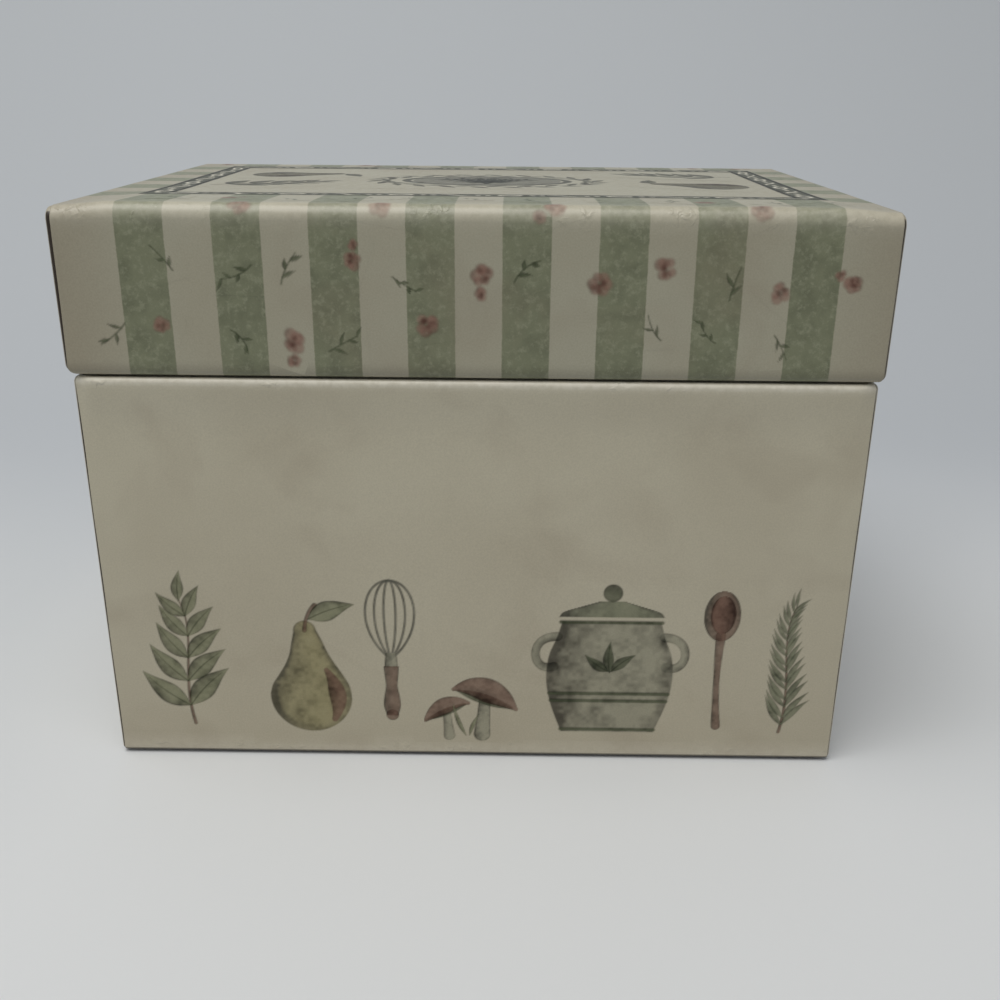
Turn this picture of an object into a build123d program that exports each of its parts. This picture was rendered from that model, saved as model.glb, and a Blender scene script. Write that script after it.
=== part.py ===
from build123d import *

import os
from dataclasses import dataclass
from math import cos, radians, sin, tan

# Covered board recipe box: a base, a shoulder lid hinged at the back, and tabbed divider cards.
# Millimetres. The origin is under the middle of the closed box, the front faces -Y, +Z is up.

# Cards that the box is made for, 6 x 4 inch, and the tabbed dividers that part them
card_width = 152.4
card_height = 101.6
divider_count = 8
divider_stock = 0.5
divider_side_margin = 1.5
divider_extra_height = 1.4
divider_pitch = 1.05
divider_lean = 3.0
divider_floor_gap = 0.1
divider_back_gap = 0.3
tab_width = 34.0
tab_height = 9.0
tab_margin = 5.0
card_corner = 3.0
tab_foot = 1.5

# Room round the dividers, inside the neck and under the ceiling
side_room = 3.45
room_depth = 113.3
headroom = 10.05
card_rise = 13.3

# Sheet stock
board = 1.6
paper = 0.2
hinge_cloth = 0.4
neck_board = 1.2
floor_board = 1.0
underside_card = 0.5

# How the lid sits over the base
lid_gap = 0.5
side_overhang = 0.8
front_overhang = 1.3
neck_rise = 9.0
neck_clearance = 0.6

# Bends, corners and folds
lid_inner_bend = 2.2
base_inner_bend = 0.6
corner_round = 1.2
lid_rim_corner = 2.2
base_rim_corner = 1.4
rim_flat = 0.1
seam_inset = 0.8
side_flap = 9.0
turn_in = 8.0
lining_drop = 3.0
underside_inset = 2.5
glue_line = 0.05

# Cloth hinge strip at the back
hinge_margin = 4.0
hinge_reach = 16.0
hinge_slack = 0.3

# A point counts as being on a level when it is this near
near = 0.01

# Layers of a wall, from outside to inside: cover paper, side paper's flap, board, folded-in paper
cover_depth = 2 * paper
wall = cover_depth + board
side_wall = paper + board

# Levels
divider_width = card_width + 2 * divider_side_margin
divider_body = card_height + divider_extra_height
floor_low = underside_card + wall
floor_top = floor_low + floor_board
base_height = floor_top + divider_body - card_rise
neck_top = base_height + neck_rise
lid_low = base_height + lid_gap
lining_depth = wall + paper + glue_line
ceiling = floor_top + divider_body + tab_height + headroom
total_height = ceiling + paper + lining_depth

# Places from left to right, and from front to back about the middle of the closed box
room_half_width = divider_width / 2 + side_room
base_half_width = room_half_width + neck_board + neck_clearance + paper + side_wall
lid_half_width = base_half_width + side_overhang
room_wall = neck_board + neck_clearance + paper + wall
lid_depth = front_overhang + room_wall + room_depth + room_wall
lid_front = -(lid_depth + hinge_cloth) / 2
back_face = lid_front + lid_depth
base_front = lid_front + front_overhang
room_front = base_front + room_wall
room_back = back_face - room_wall


@dataclass(frozen=True)
class Tray:
    """The limits of one tray-shaped layer, open at one end and bent round at the other."""

    half_width: float
    front: float
    back: float
    open_z: float
    closed_z: float
    bend: float
    rim_corner: float

    def away(self):
        """Direction from the closed end to the open one: 1 for upwards, -1 for downwards."""
        return 1 if self.open_z > self.closed_z else -1

    def inside(self, side, depth, rim=0.0):
        """The layer that lies further in: by side across X, by depth elsewhere, by rim at the rim."""
        return Tray(
            self.half_width - side,
            self.front + depth,
            self.back - depth,
            self.open_z - rim * self.away(),
            self.closed_z + depth * self.away(),
            self.bend - depth,
            self.rim_corner,
        )


lid_outside = Tray(
    half_width=lid_half_width,
    front=lid_front,
    back=back_face,
    open_z=lid_low,
    closed_z=total_height,
    bend=lid_inner_bend + wall,
    rim_corner=lid_rim_corner,
)
base_outside = Tray(
    half_width=base_half_width,
    front=base_front,
    back=back_face,
    open_z=base_height,
    closed_z=underside_card,
    bend=base_inner_bend + wall,
    rim_corner=base_rim_corner,
)


def block(x, y, z):
    """A block between two limits on each axis."""
    middle = Pos(sum(x) / 2, sum(y) / 2, sum(z) / 2)
    return middle * Box(abs(x[1] - x[0]), abs(y[1] - y[0]), abs(z[1] - z[0]))


def bent_block(tray):
    """The whole space of a tray, with its two bends along X."""
    across = (-tray.half_width, tray.half_width)
    body = block(across, (tray.front, tray.back), (tray.open_z, tray.closed_z))
    levels = body.edges().filter_by(Axis.X).group_by(Axis.Z)
    bends = levels[0] if tray.away() > 0 else levels[-1]
    return fillet(bends, tray.bend)


def cornered_block(tray, corner):
    """A bent block whose side rims are rounded too, all the way round from rim to rim."""
    body = bent_block(tray)
    rims = []
    for side in body.faces().filter_by(Axis.X):
        rims += [edge for edge in side.edges() if abs(edge.center().Z - tray.open_z) > corner]
    return fillet(rims, corner)


def bent_sheet(outline, radii, thickness, turn):
    """The section of a sheet inside an outline that turns left all along it, or right if turn is -1."""
    line = Wire(FilletPolyline(*outline, radius=radii).edges())
    return make_face(line.offset_2d(thickness, side=Side.LEFT if turn > 0 else Side.RIGHT))


def rounded_rim(section, level):
    """A board's section with its edge at a level rounded, nearly to a half circle."""
    corners = [point for point in section.vertices() if abs(point.Y - level) < near]
    return fillet(corners, (board - rim_flat) / 2)


def softened(tray, plane, low, high):
    """A tray's space seen square to a plane, from low to high, its two corners at the rim rounded."""
    middle = Pos((low + high) / 2, (tray.open_z + tray.closed_z) / 2)
    outline = middle * Rectangle(high - low, abs(tray.open_z - tray.closed_z))
    corners = [point for point in outline.vertices() if abs(point.Y - tray.open_z) < near]
    return extrude(plane * fillet(corners, tray.rim_corner), lid_depth + lid_half_width, both=True)


def wrap_board(outside):
    """One board bent twice: front, top and back of the lid, or front, floor and back of the base."""
    outer = outside.inside(paper, cover_depth, cover_depth)
    outline = [
        (outer.front, outer.open_z),
        (outer.front, outer.closed_z),
        (outer.back, outer.closed_z),
        (outer.back, outer.open_z),
    ]
    section = bent_sheet(outline, [outer.bend] * 2, board, outer.away())
    section = rounded_rim(section, outer.open_z)
    channel = extrude(Plane.YZ * section, outer.half_width, both=True)
    channel &= cornered_block(outer, corner_round)
    return channel & softened(outer, Plane.XZ, -outer.half_width, outer.half_width)


def side_board(outside, side):
    """The flat board that closes one end of a wrap board, flush with its edges."""
    outer = outside.inside(paper, cover_depth, cover_depth)
    fitting = outer.inside(0, board + glue_line)
    height = abs(fitting.open_z - fitting.closed_z)
    section = Pos(
        side * (outer.half_width - board / 2), (fitting.open_z + fitting.closed_z) / 2
    ) * Rectangle(board, height)
    section = rounded_rim(section, outer.open_z)
    slab = extrude(Plane.XZ * section, lid_depth, both=True)
    slab &= bent_block(fitting)
    return slab & softened(fitting, Plane.YZ, fitting.front, fitting.back)


def cover_paper(outside):
    """The printed sheet round front, closed end and back, folded in over both rims."""
    up = outside.away()
    rim = outside.open_z
    within = wall + paper
    fold_end = rim - up * turn_in
    outline = [
        (outside.front + within, fold_end),
        (outside.front + within, rim),
        (outside.front, rim),
        (outside.front, outside.closed_z),
        (outside.back, outside.closed_z),
        (outside.back, rim),
        (outside.back - within, rim),
        (outside.back - within, fold_end),
    ]
    fold = (within - rim_flat) / 2
    radii = [fold, fold, outside.bend, outside.bend, fold, fold]
    section = bent_sheet(outline, radii, paper, up)
    sheet = extrude(Plane.YZ * section, outside.half_width - seam_inset, both=True)
    folded_in = outside.half_width - side_wall - glue_line
    for side in (-1, 1):
        sheet -= block(
            (side * folded_in, side * outside.half_width),
            (outside.front + wall, outside.back - wall),
            (rim, rim - up * 2 * turn_in),
        )
    return sheet & softened(outside, Plane.XZ, -outside.half_width, outside.half_width)


def side_paper(outside, side):
    """The sheet over one end: flaps under the cover paper, and a fold over the side board's rim."""
    up = outside.away()
    rim = outside.open_z
    within = side_wall + paper
    fold = (within - rim_flat) / 2
    layer = outside.inside(0, paper, fold)
    skin = cornered_block(layer, corner_round + paper)
    skin -= cornered_block(layer.inside(paper, paper, -board), corner_round)
    reach = (side * (outside.half_width - side_flap), side * outside.half_width)
    skin &= block(reach, (outside.front, outside.back), (layer.open_z, layer.closed_z))
    outline = [
        (side * outside.half_width, rim - up * turn_in),
        (side * outside.half_width, rim),
        (side * (outside.half_width - within), rim),
        (side * (outside.half_width - within), rim - up * turn_in),
    ]
    section = bent_sheet(outline, [fold, fold], paper, side * up)
    length = outside.back - outside.front - 2 * lining_depth
    middle = (outside.front + outside.back) / 2
    return skin + Pos(0, middle, 0) * extrude(Plane.XZ * section, length / 2, both=True)


def underside_sheet():
    """The card pasted under the base, which the box stands on."""
    half = base_half_width - underside_inset
    depth = (base_front + underside_inset, back_face - underside_inset)
    return block((-half, half), depth, (0, underside_card))


def floor_pad():
    """The lining board on the floor of the base, clear of its bends."""
    half = room_half_width + neck_board
    shy = wall + base_inner_bend + glue_line
    return block((-half, half), (base_front + shy, back_face - shy), (floor_low, floor_top))


def neck_front():
    """The front wall of the neck, across the full room."""
    half = room_half_width + neck_board
    return neck_wall((-half, half), (room_front - neck_board, room_front))


def neck_back():
    """The back wall of the neck, across the full room."""
    half = room_half_width + neck_board
    return neck_wall((-half, half), (room_back, room_back + neck_board))


def neck_side(side):
    """A side wall of the neck, between its front and back walls."""
    across = (side * room_half_width, side * (room_half_width + neck_board))
    return neck_wall(across, (room_front + glue_line, room_back - glue_line))


def neck_wall(across, depth):
    """A lining board on the floor pad, rising past the rim of the base, its top edges eased."""
    lining = block(across, depth, (floor_top, neck_top))
    top_edges = lining.edges().group_by(Axis.Z)[-1]
    return fillet(top_edges, neck_board / 4)


def lid_lining():
    """The lining paper of the lid: its ceiling and four walls, over the folded-in papers."""
    layer = lid_outside.inside(side_wall + paper + glue_line, lining_depth, lining_drop)
    return bent_block(layer) - bent_block(layer.inside(paper, paper, -turn_in))


def hinge_leaf(low, high):
    """The half of the cloth hinge strip that is pasted to one back wall."""
    half = base_half_width - hinge_margin
    leaf = block((-half, half), (back_face, back_face + hinge_cloth), (low, high))
    outer_corners = leaf.edges().filter_by(Axis.Y)
    return fillet(outer_corners, hinge_cloth / 2)


# The hindmost divider leans on the top edge of the back neck wall
lean = radians(divider_lean)
divider_pivot_z = floor_top + divider_floor_gap + divider_stock * sin(lean)
lean_run = (neck_top - divider_pivot_z) * tan(lean)
hindmost_pivot_y = room_back - divider_back_gap - lean_run - divider_stock / cos(lean)


def divider_outline(number):
    """The flat shape of one divider card: a card with one raised tab, counted from the front."""
    step = (divider_width - 2 * tab_margin - tab_width) / (divider_count - 1)
    tab_middle = -divider_width / 2 + tab_margin + tab_width / 2 + (number - 1) * step
    body = Pos(0, divider_body / 2) * Rectangle(divider_width, divider_body)
    body = fillet(body.vertices(), card_corner)
    tall = tab_height + card_corner
    tab = Pos(tab_middle, divider_body + tab_height - tall / 2) * Rectangle(tab_width, tall)
    tab = fillet(tab.vertices().group_by(Axis.Y)[-1], card_corner)
    shape = body + tab
    feet = [
        point
        for point in shape.vertices()
        if abs(point.Y - divider_body) < near
        and abs(abs(point.X - tab_middle) - tab_width / 2) < near
    ]
    return fillet(feet, tab_foot)


def divider_card(number):
    """One divider card, upright behind its lower front edge, then leant back about that edge."""
    pivot_y = hindmost_pivot_y - (divider_count - number) * divider_pitch
    upright = extrude(Plane.XZ * divider_outline(number), -divider_stock)
    return Pos(0, pivot_y, divider_pivot_z) * Rot(-divider_lean, 0, 0) * upright


def base_pieces():
    """Every piece that stays with the base, by name."""
    return {
        "base_wrap_board": wrap_board(base_outside),
        "base_left_side_board": side_board(base_outside, -1),
        "base_right_side_board": side_board(base_outside, 1),
        "base_cover_paper": cover_paper(base_outside),
        "base_left_side_paper": side_paper(base_outside, -1),
        "base_right_side_paper": side_paper(base_outside, 1),
        "underside_sheet": underside_sheet(),
        "floor_pad": floor_pad(),
        "neck_front": neck_front(),
        "neck_back": neck_back(),
        "neck_left": neck_side(-1),
        "neck_right": neck_side(1),
        "hinge_base_leaf": hinge_leaf(base_height - hinge_reach, base_height - hinge_slack),
    }


def lid_pieces():
    """Every piece that swings with the lid, by name."""
    return {
        "lid_wrap_board": wrap_board(lid_outside),
        "lid_left_side_board": side_board(lid_outside, -1),
        "lid_right_side_board": side_board(lid_outside, 1),
        "lid_cover_paper": cover_paper(lid_outside),
        "lid_left_side_paper": side_paper(lid_outside, -1),
        "lid_right_side_paper": side_paper(lid_outside, 1),
        "lid_lining": lid_lining(),
        "hinge_lid_leaf": hinge_leaf(lid_low + hinge_slack, lid_low + hinge_reach),
    }


def divider_pieces():
    """The divider cards, from the front one to the hindmost."""
    numbers = range(1, divider_count + 1)
    return {f"divider_card_{number}": divider_card(number) for number in numbers}


def write_parts():
    """Writes each piece to its own file, named for the piece."""
    os.makedirs("parts", exist_ok=True)
    for name, piece in {**base_pieces(), **lid_pieces(), **divider_pieces()}.items():
        export_step(piece, f"parts/{name}.step")


write_parts()
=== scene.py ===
import logging
from dataclasses import dataclass, field
from enum import Enum
from functools import cached_property
from math import pi
from typing import Callable

import bmesh
import bpy
import numpy as np
from mathutils import Matrix, Vector


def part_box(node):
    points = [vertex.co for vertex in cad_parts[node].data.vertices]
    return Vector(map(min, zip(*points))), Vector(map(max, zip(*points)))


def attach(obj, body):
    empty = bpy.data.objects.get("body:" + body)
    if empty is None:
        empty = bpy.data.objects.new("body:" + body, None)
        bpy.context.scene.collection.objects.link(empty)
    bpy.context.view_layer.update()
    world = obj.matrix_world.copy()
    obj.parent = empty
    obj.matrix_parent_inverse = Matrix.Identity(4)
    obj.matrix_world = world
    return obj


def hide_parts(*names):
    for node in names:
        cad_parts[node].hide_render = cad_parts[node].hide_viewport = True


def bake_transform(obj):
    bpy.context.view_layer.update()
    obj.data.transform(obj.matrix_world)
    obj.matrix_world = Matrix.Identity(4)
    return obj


# Looks of a paper-covered recipe box with a striped shoulder lid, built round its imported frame.
# Sizes are millimetres, counted from the floor under the middle of the closed box. They become
# metres where a mesh is made. Only the studio's sheet and lamp are placed in metres.

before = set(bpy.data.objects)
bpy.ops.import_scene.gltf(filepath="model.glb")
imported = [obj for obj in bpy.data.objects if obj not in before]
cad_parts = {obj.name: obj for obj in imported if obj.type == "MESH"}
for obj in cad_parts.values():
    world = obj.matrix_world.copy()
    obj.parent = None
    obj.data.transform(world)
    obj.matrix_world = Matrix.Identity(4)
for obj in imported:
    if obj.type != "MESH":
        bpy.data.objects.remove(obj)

LOG = logging.getLogger("recipe_box")
MM = 0.001
Array = np.ndarray
Surface = Callable[[Array, Array], tuple[Array, Array, Array]]


def linear(colour: str) -> tuple[float, float, float, float]:
    """Turns an sRGB hex colour into the linear one that a shader takes.

    Args:
        colour: six hex digits, red first.

    Returns:
        Linear red, green and blue, and an alpha of 1.
    """
    share = np.array([int(colour[i : i + 2], 16) for i in (0, 2, 4)]) / 255
    bright = ((share + 0.055) / 1.055) ** 2.4
    return (*np.where(share <= 0.04045, share / 12.92, bright).tolist(), 1.0)


def smooth(value: Array) -> Array:
    """Rises from 0 to 1 with level ends, as the value goes from 0 to 1."""
    share = np.clip(value, 0, 1)
    return share * share * (3 - 2 * share)


def cloud(u: Array, v: Array, size: float, seed: int) -> Array:
    """Value noise: random numbers on a square lattice, joined smoothly.

    Args:
        u: first coordinate of each point.
        v: second coordinate of each point.
        size: spacing of the lattice.
        seed: picks the numbers.

    Returns:
        A number from 0 to 1 for each point.
    """
    side = 64
    lattice = np.random.default_rng(seed).random((side, side))
    i, j = np.floor(u / size).astype(int), np.floor(v / size).astype(int)
    s, t = smooth(u / size - i), smooth(v / size - j)
    near, far = (
        lattice[i % side, row % side] * (1 - s) + lattice[(i + 1) % side, row % side] * s
        for row in (j, j + 1)
    )
    return near * (1 - t) + far * t


def bezier(points: list[tuple[float, float]], count: int = 24) -> Array:
    """A smooth line from a few guide points, as the Bernstein sum of them.

    Args:
        points: the guide points; the line starts at the first and ends at the last.
        count: how many points to return.

    Returns:
        The line's points, one row each.
    """
    share = np.linspace(0, 1, count)[:, None]
    line = np.tile(np.array(points, float)[None], (count, 1, 1))
    while line.shape[1] > 1:
        line = line[:, :-1] * (1 - share[:, None]) + line[:, 1:] * share[:, None]
    return line[:, 0]


def eased(share: Array, values: list[float]) -> Array:
    """Evenly spaced values joined by cubic curves that keep their slopes.

    Args:
        share: places from 0, at the first value, to 1, at the last.
        values: the values to pass through.

    Returns:
        The value at each place.
    """
    if len(values) < 3:
        return np.interp(share, np.linspace(0, 1, len(values)), values)
    level, slope = np.array(values), np.gradient(values)
    at = np.clip(share, 0, 1) * (len(values) - 1)
    first = np.minimum(at.astype(int), len(values) - 2)
    t = at - first
    rise = smooth(t)
    bow = t * (1 - t) * ((1 - t) * slope[first] - t * slope[first + 1])
    return level[first] * (1 - rise) + level[first + 1] * rise + bow


def spread(ends: list[float], counts: list[int]) -> Array:
    """Samples between successive ends, with its own number of steps in each stretch."""
    runs = [np.linspace(a, b, n, endpoint=False) for a, b, n in zip(ends, ends[1:], counts)]
    return np.concatenate([*runs, [ends[-1]]])


def grid_faces(rows: int, columns: int) -> Array:
    """The four corners of each cell of a grid of points that are numbered row by row.

    Args:
        rows: how many rows of points.
        columns: how many points to a row.

    Returns:
        Four point numbers for each cell.
    """
    corner = np.arange(rows - 1)[:, None] * columns + np.arange(columns - 1)
    cells = [corner, corner + 1, corner + columns + 1, corner + columns]
    return np.stack(cells, -1).reshape(-1, 4)


def turned_out(points: Array, faces: Array, outward: Array) -> Array:
    """The faces in the order that turns them the way that they should face.

    Args:
        points: places, one row each.
        faces: four point numbers for each face, all in one sense.
        outward: for each point, roughly the way that its surface faces.

    Returns:
        The faces, reversed where most of them looked the other way.
    """
    a, b, c = (points[faces[:, i]] for i in (0, 1, 3))
    facing = np.einsum("ij,ij->i", np.cross(b - a, c - a), outward[faces[:, 0]])
    return faces[:, ::-1] if facing.sum() < 0 else faces


def make_piece(
    name: str,
    points: Array,
    faces: Array,
    material: bpy.types.Material,
    attributes: dict[str, Array] | None = None,
) -> bpy.types.Object:
    """Makes a smooth-shaded mesh.

    Args:
        name: the piece's name.
        points: places in metres, one row each.
        faces: four point numbers for each face.
        material: what the piece is made of.
        attributes: numbers or colours kept at the points, by name.

    Returns:
        The new object, at the origin.
    """
    mesh = bpy.data.meshes.new(name)
    mesh.vertices.add(len(points))
    mesh.vertices.foreach_set("co", points.astype(np.float32).ravel())
    mesh.loops.add(faces.size)
    mesh.loops.foreach_set("vertex_index", faces.astype(np.int32).ravel())
    mesh.polygons.add(len(faces))
    mesh.polygons.foreach_set("loop_start", np.arange(0, faces.size, 4, dtype=np.int32))
    for key, values in (attributes or {}).items():
        kind, slot = ("FLOAT", "value") if values.ndim == 1 else ("FLOAT_COLOR", "color")
        layer = mesh.attributes.new(key, kind, "POINT")
        layer.data.foreach_set(slot, values.astype(np.float32).ravel())
    mesh.update(calc_edges=True)
    mesh.validate()
    mesh.shade_smooth()
    mesh.materials.append(material)
    piece = bpy.data.objects.new(name, mesh)
    bpy.context.scene.collection.objects.link(piece)
    return piece


def weld(piece: bpy.types.Object, distance: float = 0.002 * MM) -> None:
    """Joins points that lie in one place, and removes what has no area after that.

    Args:
        piece: the mesh to clean.
        distance: how near in metres counts as one place.
    """
    shape = bmesh.new()
    shape.from_mesh(piece.data)
    bmesh.ops.remove_doubles(shape, verts=shape.verts, dist=distance)
    bmesh.ops.dissolve_degenerate(shape, edges=shape.edges, dist=distance)
    shape.to_mesh(piece.data)
    shape.free()


def thicken(piece: bpy.types.Object, thickness: float) -> None:
    """Gives a sheet its real thickness, in millimetres, behind the face that shows.

    Args:
        piece: the sheet.
        thickness: its thickness.
    """
    wall = piece.modifiers.new("sheet_thickness", "SOLIDIFY")
    wall.thickness = thickness * MM
    wall.offset = -1


def add(
    tree: bpy.types.NodeTree,
    kind: str,
    *sources: object,
    out: int | str = 0,
    sockets: dict | None = None,
    **settings: object,
) -> bpy.types.NodeSocket | None:
    """Adds one shader node with its settings and links.

    Args:
        tree: the node tree.
        kind: the node's type, without its ShaderNode prefix.
        sources: what each input takes in turn, a socket to link or a plain value; None leaves it.
        out: the output to return.
        sockets: more inputs, by name or number.
        settings: the node's own properties.

    Returns:
        The output socket, or None for an end node.
    """
    made = tree.nodes.new("ShaderNode" + kind)
    for key, value in settings.items():
        setattr(made, key, value)
    for key, value in [*enumerate(sources), *(sockets or {}).items()]:
        if isinstance(value, bpy.types.NodeSocket):
            tree.links.new(value, made.inputs[key])
        elif value is not None:
            made.inputs[key].default_value = value
    return made.outputs[out] if made.outputs else None


def per(size: float) -> float:
    """The noise scale, on coordinates in metres, whose spots are about this many millimetres."""
    return 1 / (size * MM)


@dataclass(frozen=True)
class Finish:
    """One real material. Its shader tree is made once and shared by every piece that has it."""

    name: str
    slot: str

    @cached_property
    def material(self) -> bpy.types.Material:
        """The Blender material of this finish.

        Returns:
            The material, made at the first use.
        """
        made = bpy.data.materials.new(self.name)
        made.use_nodes = True
        made.node_tree.nodes.clear()
        shader = self.shade(made.node_tree)
        add(made.node_tree, "OutputMaterial", shader)
        return made

    def shade(self, tree: bpy.types.NodeTree) -> bpy.types.NodeSocket:
        """Builds the shader and returns its output.

        Args:
            tree: the node tree.

        Returns:
            The shader's output socket.
        """
        raise NotImplementedError

    def dress(self, piece: bpy.types.Object) -> None:
        """Puts the finish on a piece, in place of what is there.

        Args:
            piece: the piece to dress.
        """
        piece.data.materials.clear()
        piece.data.materials.append(self.material)


@dataclass(frozen=True)
class PrintedPaper(Finish):
    """Offset-printed cover paper under a satin varnish: soft gloss, fine grain, and pale where rubbed.

    Sizes and rises are millimetres. Creases and cockles are drawn larger than a real sheet's, so
    that they show. The varnish shines less over ink than over bare paper. The paler band on bends
    and rims is partly rubbing and partly a painted highlight, and the darkening by the rims and
    under the foot is painted shade.
    """

    cream: str = "ABA793"
    # This darker tone drifts in patches, and also paints shade that greys the box towards its foot.
    aged_and_foot_shade: str = "9C9078"
    smudge: str = "8A7A66"
    # The dark tone marks the corner seams and paints shade by the lid's rim and under the base's foot; the
    # pale tone shows rubbing, and on bends and rims a painted highlight.
    dark_seam_and_shade_tone: str = "32281D"
    scuff_and_highlight: str = "E2DCCC"
    roughness: float = 0.36
    bare_gloss: float = 0.5
    ink_gloss: float = 0.05
    grain: float = 0.35
    grain_rise: float = 0.02
    drift_size: float = 34.0
    drift_most: float = 0.30
    # How high, and how much, painted shade greys the cream towards the foot.
    foot_shade_height: float = 70.0
    foot_shade_most: float = 0.6
    smudge_size: float = 26.0
    smudge_most: float = 0.30
    rub_size: float = 1.6
    cockle_size: float = 9.0
    cockle_rise: float = 0.12
    crease_size: float = 2.6
    crease_rise: float = 0.9
    inked: bool = False

    def ground(self, tree: bpy.types.NodeTree, place: bpy.types.NodeSocket) -> bpy.types.NodeSocket:
        """The printed colour before rubbing: plain cream, here, greyed by painted shade towards the box's
        foot.

        Args:
            tree: the node tree.
            place: coordinates in metres.

        Returns:
            The colour's socket.
        """
        colour = self.clouded(tree, place, self.cream, self.aged_and_foot_shade, self.drift_size, self.drift_most)
        # Painted shade: the cream greys towards the foot of the box.
        z = add(tree, "SeparateXYZ", place, out="Z")
        low = add(tree, "MapRange", z, self.foot_shade_height * MM, 0.0, 0.0, self.foot_shade_most, out="Result")
        mixed = {0: low, 6: colour, 7: linear(self.aged_and_foot_shade)}
        return add(tree, "Mix", sockets=mixed, out=2, data_type="RGBA")

    def clouded(
        self,
        tree: bpy.types.NodeTree,
        place: bpy.types.NodeSocket,
        light: str,
        dark: str,
        size: float,
        amount: float,
    ) -> bpy.types.NodeSocket:
        """One colour drifting towards another in soft patches.

        Args:
            tree: the node tree.
            place: coordinates in metres.
            light: the main colour.
            dark: the colour that it drifts to.
            size: size of the patches in millimetres.
            amount: the most that it drifts, as a share.

        Returns:
            The colour's socket.
        """
        noise = add(tree, "TexNoise", place, sockets={"Scale": per(size), "Detail": 3.0})
        drift = add(tree, "MapRange", noise, 0.42, 0.72, 0.0, amount, out="Result")
        mixed = {0: drift, 6: linear(light), 7: linear(dark)}
        return add(tree, "Mix", sockets=mixed, out=2, data_type="RGBA")

    def shade(self, tree: bpy.types.NodeTree) -> bpy.types.NodeSocket:
        """Ground, then smudges, ink, grain, rubbing and painted highlight, creases on the bends, dark seams
        and painted shade.

        Args:
            tree: the node tree.

        Returns:
            The shader's output socket.
        """
        place = add(tree, "TexCoord", out="Object")
        colour = self.ground(tree, place)
        spots = {"Scale": per(self.smudge_size), "Detail": 5.0, "Distortion": 0.6}
        touched = add(tree, "TexNoise", place, sockets=spots)
        touched = add(tree, "MapRange", touched, 0.52, 0.80, 0.0, self.smudge_most, out="Result")
        mixed = {0: touched, 6: colour, 7: linear(self.smudge)}
        colour = add(tree, "Mix", sockets=mixed, out=2, data_type="RGBA")
        gloss = self.bare_gloss
        if self.inked:
            ink = add(tree, "Attribute", out="Color", attribute_name="ink")
            share = add(tree, "Attribute", out="Alpha", attribute_name="ink")
            colour = add(tree, "Mix", sockets={0: share, 6: colour, 7: ink}, out=2, data_type="RGBA")
            gloss = add(tree, "MapRange", share, 0.0, 1.0, self.bare_gloss, self.ink_gloss, out="Result")
        fine = add(tree, "TexNoise", place, sockets={"Scale": per(self.grain), "Detail": 2.0})
        speck = add(tree, "MapRange", fine, 0.3, 0.7, 0.94, 1.05, out="Result")
        shaded = {0: 1.0, 6: colour, 7: speck}
        colour = add(tree, "Mix", sockets=shaded, out=2, data_type="RGBA", blend_type="MULTIPLY")
        # Paler on bends, rims and corners: rubbing, and on bends and rims partly a painted highlight.
        wear_and_highlight = add(tree, "Attribute", out="Fac", attribute_name="wear_and_highlight")
        patchy = add(tree, "TexNoise", place, sockets={"Scale": per(self.rub_size), "Detail": 4.0})
        rub_and_highlight_patches = add(tree, "MapRange", patchy, 0.35, 0.65, 0.65, 1.1, out="Result")
        rubbed_and_lit = add(tree, "Math", rub_and_highlight_patches, wear_and_highlight, operation="MULTIPLY")
        # Darker at the corner seams, and painted shade along the lid's rim and under the base's foot.
        darkened = add(tree, "Attribute", out="Fac", attribute_name="dark_seam_and_painted_shade")
        for share, tone in ((rubbed_and_lit, self.scuff_and_highlight), (darkened, self.dark_seam_and_shade_tone)):
            mixed = {0: share, 6: colour, 7: linear(tone)}
            colour = add(tree, "Mix", sockets=mixed, out=2, data_type="RGBA")
        smoothest, roughest = self.roughness - 0.05, self.roughness + 0.07
        rough = add(tree, "MapRange", patchy, 0.3, 0.7, smoothest, roughest, out="Result")
        cockle = add(tree, "TexNoise", place, sockets={"Scale": per(self.cockle_size), "Detail": 2.0})
        low = add(tree, "Bump", 0.35, self.cockle_rise * MM, sockets={"Height": cockle})
        folds = {"Scale": per(self.crease_size), "Detail": 3.0, "Distortion": 1.2}
        crease = add(tree, "TexNoise", place, sockets=folds)
        crease = add(tree, "MapRange", crease, 0.5, 0.72, out="Result")
        some = add(tree, "MapRange", cockle, 0.52, 0.6, out="Result")
        unrubbed_and_unlit = add(tree, "Math", 1.0, wear_and_highlight, operation="SUBTRACT")
        bent = add(tree, "Math", wear_and_highlight, unrubbed_and_unlit, operation="MULTIPLY")
        for share in (some, bent):
            crease = add(tree, "Math", crease, share, operation="MULTIPLY")
        low = add(tree, "Bump", 1.0, self.crease_rise * MM, sockets={"Height": crease, "Normal": low})
        high = add(tree, "Bump", 0.5, self.grain_rise * MM, sockets={"Height": fine, "Normal": low})
        surface = {
            "Base Color": colour,
            "Roughness": rough,
            "IOR": 1.5,
            "Specular IOR Level": gloss,
            "Normal": high,
        }
        return add(tree, "BsdfPrincipled", sockets=surface)


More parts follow.
